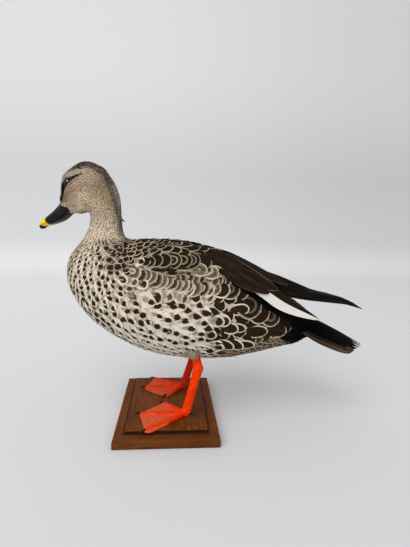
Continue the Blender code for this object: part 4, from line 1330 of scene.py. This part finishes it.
def make_bill(name, keys, power, narrow, tip_point, *nodes):
    """One half of the bill: squarish rings through its stations; nostril and nail are on the upper one."""
    fine = smooth_keys(keys, 46)
    turn = circle(40)
    side, high = (np.sign(v) * np.abs(v) ** (2 / power) for v in (np.cos(turn), np.sin(turn)))
    rings, marks = [], []
    for along, top, bottom, half in fine:
        middle = bottom + 0.25 * (top - bottom)
        tall = np.where(high > 0, top - middle, middle - bottom)
        up = middle + tall * high
        v = half * side * (1 - narrow * np.maximum(0, high) ** 2)
        if name == "bill_top":
            nostril = hump(along, 4.95, 0.28) * hump(high, 0.62, 0.16)
            v = v - np.sign(v) * 0.16 * nostril
            nail = ramp(8.1, 8.4, along) * ramp(0.5, 0.35, np.abs(v))
            up = up + 0.05 * nail * (high > 0) - 0.10 * nail * (high < 0)
        rings.append(on_head(np.stack([along + 0 * v, v, up], 1)))
        marks.append(np.stack([along + 0 * v, np.abs(v), (up - middle) / np.maximum(tall, 0.1)], 1))
    along, top, bottom, _ = fine[0]
    marks = np.concatenate([*marks, ((2.7, 0, 0), (9.0 if name == "bill_top" else 8.6, 0, -1))])
    shape, faces = tube(rings, on_head((along - 0.2, 0, 0.5 * (top + bottom))), on_head(tip_point))
    mesh = mesh_from(name, shape, faces)
    add_data(mesh, "where", marks)
    piece(name, mesh, horn, "bill_horn", *nodes)


horn = bill_material()
make_bill("bill_top", UPPER, 2.5, 0.35, (9.04, 0, -0.85), "bill_upper", "bill_tip")
make_bill("bill_under", LOWER, 2.4, 0.0, (8.62, 0, -0.97), "bill_lower")


# -------------------------------------------------- eyes

def eye_material():
    n = Nodes("glass eye", 0.05, 0.25)
    tone = n.noise(n.place(), 1500.0, 3.0)
    iris = n.blend(tone, (0.006, 0.003, 0.002), (0.018, 0.009, 0.005))
    n.colour(n.blend(n.step(n.data("reach", "value"), 0.20, 0.23), (0.002, 0.002, 0.002), iris))
    return n.surface


def lid_material():
    n = Nodes("eyelid skin", 0.7, 0.08)
    tone = n.noise(n.place(), 900.0)
    n.colour(n.blend(tone, (0.004, 0.003, 0.003), (0.016, 0.012, 0.010)))
    n.bump(tone, 0.3, 0.0004)
    return n.surface


def make_eyeball(word, centre, axis, first, second):
    """A ball turned about its axis, each ring storing how far it is from that axis for the pupil."""
    turn = circle(32)[:, None]
    rings, reach = [], []
    for polar in np.linspace(0.04, 1.9, 22):
        out = math.sin(polar) * EYE_RADIUS
        middle = centre + axis * math.cos(polar) * EYE_RADIUS
        rings.append(on_head(middle + out * (first * np.cos(turn) + second * np.sin(turn))))
        reach.append(np.full(32, out if polar < 1.57 else 1.0))
    shape, faces = tube(rings, on_head(centre + axis * EYE_RADIUS), on_head(centre - axis * 0.2))
    mesh = mesh_from("eye_" + word, shape, faces)
    add_data(mesh, "reach", np.concatenate([*reach, (0.0, 1.0)]))
    piece("eyeball_" + word, mesh, glass, "eye_glass", "eye_" + word)


def make_eyelid(word, centre, axis, first, second):
    """A thin ring round the eyeball, a little wider than high."""
    polar, reach = 1.06, EYE_RADIUS + 0.01
    rings = []
    for angle in circle(48):
        spoke = first * math.cos(angle) * 1.06 + second * math.sin(angle) * 0.94
        middle = centre + axis * math.cos(polar) * reach + spoke * math.sin(polar) * reach
        out = unit(middle - centre)
        along = np.cross(out, np.cross(spoke, axis))
        ring = [middle + out * 0.03 * math.cos(q) + along * 0.04 * math.sin(q) for q in circle(12)]
        rings.append([on_head(place) for place in ring])
    cell = joined_round(np.arange(48 * 12).reshape(48, 12))
    faces = grid_faces(np.vstack([cell, cell[:1]]))[:, TURNED_OVER]
    mesh = mesh_from("eyelid_" + word, np.concatenate(rings), faces.tolist())
    piece("eyelid_" + word, mesh, lid_skin, "face_plumage")


glass, lid_skin = eye_material(), lid_material()
for word, side in (("left", 1), ("right", -1)):
    axis = unit(np.array((0.18, side, 0.12)))
    first = unit(np.cross(axis, (0, 0, 1.0)))
    for make in (make_eyeball, make_eyelid):
        make(word, EYE * (1, side, 1), axis, first, np.cross(axis, first))


# -------------------------------------------------- legs and feet

BASE_TOP = 1.72


def leg_material():
    """Scaly orange skin; webs are pinker, and the far leg, the near leg's inner side, the far foot a little
    and the hind toes take a darker red as painted shade.
    """
    n = Nodes("leg and web skin", 0.6, 0.05)
    webbed, red_shade, creased = n.parts(n.data("where"))
    scale = n.step(n.cells(n.scaled(n.place(), 1, 1, 0.8), 480.0), 0.45, 0.8)
    tone = n.noise(n.place(), 120.0, 4.0, 0.6)
    spots = n.noise(n.place(), 420.0, 4.0, 0.7)
    orange = n.blend(n.step(tone, 0.2, 0.8), (0.78, 0.028, 0.001), (0.95, 0.052, 0.001))
    red = n.blend(tone, (0.34, 0.006, 0.002), (0.50, 0.016, 0.003))
    web = n.blend(n.step(spots, 0.25, 0.75), (0.66, 0.085, 0.032), (0.80, 0.130, 0.055))
    # The darker red mixed in here is painted shade on the far leg, the near leg's inner side, the far foot
    # and the hind toes.
    colour = n.blend(red_shade, n.blend(webbed, orange, web), red)
    n.colour(n.blend(n.maths("MAXIMUM", n.times(scale, 0.3), creased), colour, (0.22, 0.008, 0.002)))
    n.bump(n.plus(n.times(scale, -0.8), n.times(spots, 0.5)), 0.7, 0.0008)
    return n.surface


def claw_material():
    n = Nodes("claw horn", 0.5, 0.2)
    n.colour(n.blend(n.noise(n.place(), 300.0, 3.0), (0.004, 0.0035, 0.0035), (0.018, 0.013, 0.010)))
    return n.surface


leg_skin, claw_horn = leg_material(), claw_material()
# The last value is how much of the darker red painted shade the whole leg gets.
LEGS = {  # middle of the toes, ankle, top, each toe's length and bearing in degrees, how red it is
    "left": (
        (2.5, -5.15, 2.55), (4.05, -4.3, 8.15), (3.5, -3.2, 10.6), ((5.0, -51), (6.3, -8), (6.4, 34)), 0.0,
    ),
    "right": (
        (2.45, 3.65, 2.55), (4.2, 3.7, 8.1), (3.5, 3.2, 10.6), ((6.2, -38), (6.2, -2), (3.9, 43)), 1.0,
    ),
}


def make_leg(word):
    """The shank and the thigh's end in one tube, grooved at the sides and scaled in front."""
    foot, ankle, top, _, red = LEGS[word]
    foot, ankle, top = map(np.array, (foot, ankle, top))
    up = np.array((0, 0, 1.0))
    shank, thigh = ankle - foot, top - ankle
    fine = smooth_keys([
        (*(foot - up * 0.55), 0.42, 0.40), (*(foot - up * 0.2), 0.56, 0.48), (*foot, 0.60, 0.50),
        (*(foot + shank * 0.10), 0.62, 0.46), (*(foot + shank * 0.3), 0.60, 0.42),
        (*(foot + shank * 0.55), 0.58, 0.42), (*(foot + shank * 0.78), 0.62, 0.45),
        (*(foot + shank * 0.93), 0.70, 0.50), (*ankle, 0.70, 0.52),
        (*(ankle + thigh * 0.25), 0.62, 0.50), (*(ankle + thigh * 0.6), 0.60, 0.54), (*top, 0.66, 0.6),
    ], 90)
    turn = circle(36)
    groove = 1 - 0.05 * hump(np.abs(np.sin(turn)), 1.0, 0.25)
    rings = []
    for k, (x, y, z, along, across) in enumerate(fine):
        ring = np.stack([x + along * np.cos(turn), y + across * np.sin(turn), z + 0 * turn], 1)
        scutes = 1 + 0.018 * np.maximum(0, np.cos(turn) * -1) * (math.sin(k * 2.2) > 0)
        centre = np.array((x, y, z))
        rings.append(centre + (ring - centre) * (groove * scutes)[:, None])
    shape, faces = tube(rings, fine[0][:3] - up * 0.05, fine[-1][:3] + up * 0.3)
    mesh = mesh_from("shank_" + word, shape, faces)
    inward = shape[:, 1] - np.interp(shape[:, 2], fine[:, 2], fine[:, 1])
    # Painted shade: the far leg, and the near leg's inner side, take the darker red.
    red_shade = np.maximum(red * 0.75, 0.8 * ramp(0.1, 0.45, inward * (word == "left")))
    add_data(mesh, "where", np.stack([0 * red_shade, red_shade, 0 * red_shade], 1))
    piece("shank_" + word, mesh, leg_skin, "leg_skin", "leg_" + word)


TOE_RIM = 6.5  # degrees that the foot reaches beyond its outer toes
TOE_START = 0.35
SOLE = BASE_TOP + 0.03


def make_foot(word):
    """Webbed toes as one closed form: a fan of rows from the ankle, raised where a toe runs."""
    joint, _, _, toes, red = LEGS[word]
    lengths, bearings = np.array(toes).T
    turns, steps = 96, 40
    bearing = np.linspace(bearings[0] - TOE_RIM, bearings[-1] + TOE_RIM, turns)
    between = np.zeros(turns)
    for low, high in zip(bearings[:-1], bearings[1:]):
        s = np.clip((bearing - low) / (high - low), 0, 1)
        between = np.maximum(between, s * (1 - s) * 4)
    outside = np.maximum(0, np.maximum(bearings[0] - bearing, bearing - bearings[-1]))
    reach = np.interp(bearing, bearings, lengths)
    reach = reach * (1 - 0.08 * between) * (1 - 0.10 * (outside / TOE_RIM) ** 2)
    share = np.linspace(0, 1, steps)
    out = TOE_START + (reach[:, None] - TOE_START) * share
    gap = np.abs(bearing[:, None] - bearings)
    nearest = gap.argmin(1)
    off = np.sin(np.radians(gap[np.arange(turns), nearest]))[:, None] * out
    run = np.minimum(1, out / lengths[nearest][:, None])
    knuckle = 1 + 0.14 * (hump(run, 0.42, 0.05) + hump(run, 0.68, 0.045) + hump(run, 0.88, 0.04))
    ridge = np.sqrt(np.maximum(0, 1 - (off / ((0.40 - 0.16 * run) * knuckle)) ** 2))
    toe_high = (0.92 - 0.58 * run ** 0.7) * knuckle
    fold = 0.035 * np.sin(np.radians(bearing)[:, None] * 70 + 0.5 * out) * between[:, None]
    fold = fold * ramp(0.25, 0.6, run)
    web_high = 0.17 + 0.08 * between[:, None] * np.sin(share * math.pi) + fold
    high = web_high + ridge * np.maximum(0, toe_high - web_high)
    high[:, -1] *= 0.6
    x = joint[0] - np.cos(np.radians(bearing))[:, None] * out
    y = joint[1] - np.sin(np.radians(bearing))[:, None] * out
    top, under = (np.stack([x, y, SOLE + h], -1).reshape(-1, 3) for h in (high, 0 * high))
    cell = np.arange(turns * steps).reshape(turns, steps)
    quads = grid_faces(cell)
    rim = np.concatenate([cell[:, 0], cell[-1, 1:], cell[::-1, -1][1:], cell[0, ::-1][1:-1]])
    after = np.roll(rim, -1)
    side = np.stack([rim, rim + cell.size, after + cell.size, after], 1)
    faces = np.concatenate([quads, quads[:, ::-1] + cell.size, side])
    mesh = mesh_from("foot_" + word, np.concatenate([top, under]), faces.tolist())
    webbed = ramp(0.55, 0.15, ridge).reshape(-1)
    # The far foot takes a little of the darker red painted shade.
    where = np.stack([webbed, np.full(cell.size, red * 0.15), 0 * webbed], 1)
    add_data(mesh, "where", np.tile(where, (2, 1)))
    piece("webbed_foot_" + word, mesh, leg_skin, "leg_skin", "foot_" + word)


def claw(start, ahead, length, thick, low=0.06, around=16, stations=14):
    """A curved cone that comes down to the board."""
    rings = []
    across = np.array((-ahead[1], ahead[0], 0))
    turn = circle(around)[:, None]
    for k in range(stations):
        s = k / stations
        radius = thick * (1 - 0.85 * s ** 1.5)
        at = start + ahead * length * s
        at[2] = start[2] + 0.05 * math.sin(s * math.pi) - (start[2] - BASE_TOP - low) * s * s
        at[2] = max(at[2], SOLE + radius)
        rings.append(at + across * radius * 0.8 * np.cos(turn) + np.array((0, 0, 1)) * radius * np.sin(turn))
    end = start + ahead * length
    end[2] = BASE_TOP + 0.05
    return tube(rings, start - ahead * 0.1, end)


def make_claws(word):
    """A claw on each toe, and the hind toe with its own."""
    (x, y, _), _, _, toes, _ = LEGS[word]
    side = -1 if word == "left" else 1
    shapes = []
    for length, bearing in toes:
        ahead = np.array((-math.cos(math.radians(bearing)), -math.sin(math.radians(bearing)), 0))
        shapes.append(claw(np.array((x, y, SOLE + 0.22)) + ahead * (length - 0.25), ahead, 1.05, 0.19))
    behind = unit(np.array((math.cos(0.5), -side * math.sin(0.5) * 0.6, 0)))
    start = np.array((x, y, SOLE + 0.34)) - behind * 0.4
    shapes.append(claw(start + behind * 0.85, behind, 0.75, 0.2, 0.08))
    faces, count = [], 0
    for points_of, faces_of in shapes:
        faces += [[i + count for i in f] for f in faces_of]
        count += len(points_of)
    mesh = mesh_from("claws_" + word, np.concatenate([shape[0] for shape in shapes]), faces)
    piece("claws_" + word, mesh, claw_horn, "leg_skin")
    shape, faces = claw(start, behind, 1.3, 0.24, 0.1)
    mesh = mesh_from("hind_toe_" + word, shape, faces)
    # The hind toe takes half of the darker red painted shade.
    add_data(mesh, "where", np.tile((0.0, 0.5, 0.0), (len(shape), 1)))
    piece("hind_toe_" + word, mesh, leg_skin, "leg_skin")


for word in LEGS:
    make_leg(word)
    make_foot(word)
    make_claws(word)


# -------------------------------------------------- wooden base

def wood_material(name, stretch, light, dark):
    """Stained wood, its grain along the axis of the small stretch, with painted shade darkening the step and
    groove round the panel, and a lighter band round the moulding's rounded top edge.
    """
    n = Nodes(name, 0.6, 0.06)
    place = n.place()
    grain, broad, pores = (
        n.noise(n.scaled(place, *(v * share for v in stretch)), *settings)
        for share, settings in ((1, (5.0, 6.0, 0.7, 0.6)), (0.25, (3.0,)), (3, (6.0,)))
    )
    blotch = n.noise(place, 28.0, 3.0, 0.6)
    height = n.parts(place)[2]
    # A lighter band 1.00 to 1.12 cm up, round the moulding's rounded top edge.
    light_edge_band = n.times(n.step(height, 0.0100, 0.0106), n.step(height, 0.0112, 0.0106))
    # Painted shade: the panel's step and the groove at its foot, 1.20 to 1.68 cm up, made dark.
    groove = n.times(n.step(height, 0.0120, 0.0126), n.step(height, 0.0168, 0.0150))
    colour = n.blend(n.step(grain, 0.32, 0.68), dark, light)
    for share, strength, over in (
        (n.step(broad, 0.4, 0.65), 0.5, dark),
        (n.step(blotch, 0.45, 0.7), 0.35, tuple(0.5 * c for c in dark)),
        (n.step(pores, 0.58, 0.70), 0.6, tuple(0.3 * c for c in dark)), (light_edge_band, 0.25, light),
        (groove, 0.85, tuple(0.12 * c for c in dark)),
    ):
        colour = n.blend(n.times(share, strength), colour, over)
    n.colour(colour)
    n.bump(n.plus(grain, n.times(pores, -0.6)), 0.35, 0.0006)
    return n.surface


HALF = np.array(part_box("base")[1]) / CM
ACROSS = wood_material(
    "stained wood, grain across", (3.0, 60.0, 60.0), (0.18, 0.062, 0.014), (0.088, 0.025, 0.005),
)
FORE_AFT = wood_material(
    "stained wood, grain fore and aft", (60.0, 3.0, 60.0), (0.215, 0.066, 0.012), (0.105, 0.025, 0.003),
)
PROFILE = (  # inset and height, from the foot of the moulding up to the panel
    (0.10, 0.0), (0.02, 0.05), (0.0, 0.14), (0.0, 0.90), (0.03, 1.00), (0.10, 1.05), (0.20, 1.07),
    (0.45, 1.09), (0.70, 1.12), (0.92, 1.17), (1.08, 1.215), (1.22, 1.235), (1.36, 1.24), (1.41, 1.25),
    (1.43, 1.30), (1.44, 1.56), (1.46, 1.65), (1.52, 1.70), (1.60, 1.72),
)
MOULDING = PROFILE[:16]
PANEL = ((1.43, 1.0), (1.44, 1.2)) + PROFILE[15:] + ((1.7, 1.72), (2.6, 1.72))


def moulding(name, axis, sign, surface, *nodes):
    """One mitred length of moulding: axis 0 runs along X, 1 along Y."""

    def pair(inset, z, gap=0.0):
        ends = []
        for s in (-1, 1):
            end = [0, 0, z]
            end[axis] = s * (HALF[axis] - inset - gap)
            end[1 - axis] = (HALF[1 - axis] - inset) * sign
            ends.append(end)
        return ends

    strip = [end for inset, z in MOULDING for end in pair(inset, z, 0.004)]
    faces = [(i, i + 1, i + 3, i + 2) for i in range(0, len(strip) - 2, 2)]
    faces.append((0, len(strip), len(strip) + 1, 1))
    mesh = mesh_from("moulding", strip + pair(1.6, 0.0), faces)
    outward = sum(f.normal[1 - axis] * sign * f.area for f in mesh.polygons)
    if outward < 0:
        mesh.flip_normals()
    piece(name, mesh, surface, "wood", *nodes)


moulding("base_front", 0, -1, ACROSS, "base")
moulding("base_right", 1, 1, FORE_AFT)
moulding("base_back", 0, 1, ACROSS)
moulding("base_left", 1, -1, FORE_AFT)

def base_panel():
    """The raised panel inside the mouldings, up over its edge to a flat top."""
    rings = []
    for inset, z in PANEL:
        x, y = HALF[0] - inset, HALF[1] - inset
        rings.append([(-x, -y, z), (x, -y, z), (x, y, z), (-x, y, z)])
    points_of, faces = tube(rings)
    last = len(points_of) - 4
    faces.append([last, last + 1, last + 2, last + 3])
    piece("base_panel", mesh_from("base_panel", points_of, faces, False), FORE_AFT, "wood")


base_panel()


# -------------------------------------------------- room, light and camera

def paper_sweep(side=320, near=-260, back=140, radius=60, wall=240, steps=39):
    """A floor that curves up into a wall behind, as points and faces."""
    points_of, faces = [], []
    for k in range(steps + 1):
        s = k / steps
        if s < 0.5:
            y, z = near + (back - near) * s / 0.5, 0.0
        else:
            bend = min(1.0, (s - 0.5) / 0.3) * math.pi / 2
            y = back + radius * math.sin(bend)
            z = radius - radius * math.cos(bend) + max(0.0, s - 0.8) / 0.2 * wall
        points_of += [(-side, y, z), (side, y, z)]
        if k:
            faces.append((2 * k - 2, 2 * k - 1, 2 * k + 1, 2 * k))
    return points_of, faces


def paper_material():
    """Pale paper with painted shade: a little darker up the wall and towards one side, and lighter again high
    on the wall.
    """
    n = Nodes("pale paper", 0.9, 0.0)
    x, _, z = n.parts(n.place())
    # Painted shade and light: the paper's colour falls off up the wall and towards +X, then rises again
    # higher up.
    painted_falloff = n.times(n.step(z, 0.02, 0.2, 1.0, 0.825), n.step(x, -0.5, 1.6, 1.0, 0.86))
    n.colour(n.shaded((0.73, 0.735, 0.745), n.times(painted_falloff, n.step(z, 0.3, 1.3, 1.0, 1.22))))
    return n.surface


floor = placed("floor", mesh_from("floor", *paper_sweep()))
floor.data.materials.append(paper_material())

world = bpy.data.worlds.new("studio")
world.use_nodes = True
sky = world.node_tree.nodes["Background"]
sky.inputs["Color"].default_value = (0.97, 0.98, 1.0, 1)
sky.inputs["Strength"].default_value = 0.64
scene.world = world


def lamp(name, kind, place, aim, power, colour=(1, 1, 1), **values):
    """A light at a place, turned towards what it is aimed at; in metres."""
    light = bpy.data.lights.new(name, kind)
    light.energy = power
    light.color = colour
    for key, value in values.items():
        setattr(light, key, value)
    thing = placed(name, light)
    thing.location = place
    thing.rotation_euler = (Vector(aim) - Vector(place)).to_track_quat("-Z", "Y").to_euler()
    return thing


lamp("window", "SUN", (-1.2, -2.0, 2.5), (0, 0, 0.2), 1.5, (1.0, 0.985, 0.96), angle=math.radians(60))
front = lamp("front", "AREA", (-3.6, -4.9, 0.9), (-0.05, 0, 0.22), 52.0, size=3.0)
front.visible_glossy = front.visible_camera = False
glint = lamp("glint", "AREA", (-0.17, -0.62, 0.47), (-0.13, 0, 0.32), 1.2, size=0.24, spread=math.radians(40))
glint.visible_diffuse = glint.visible_camera = False

view = bpy.data.cameras.new("camera")
view.sensor_width = 36
view.lens = 25.00914
view.clip_start = 0.01
camera = placed("camera", view)
camera.location = (0.00318, -0.531026, 0.273152)
camera.rotation_euler = [math.radians(angle) for angle in (82.6604, -1.477, -4.8498)]
scene.camera = camera
scene.view_settings.view_transform = "Standard"
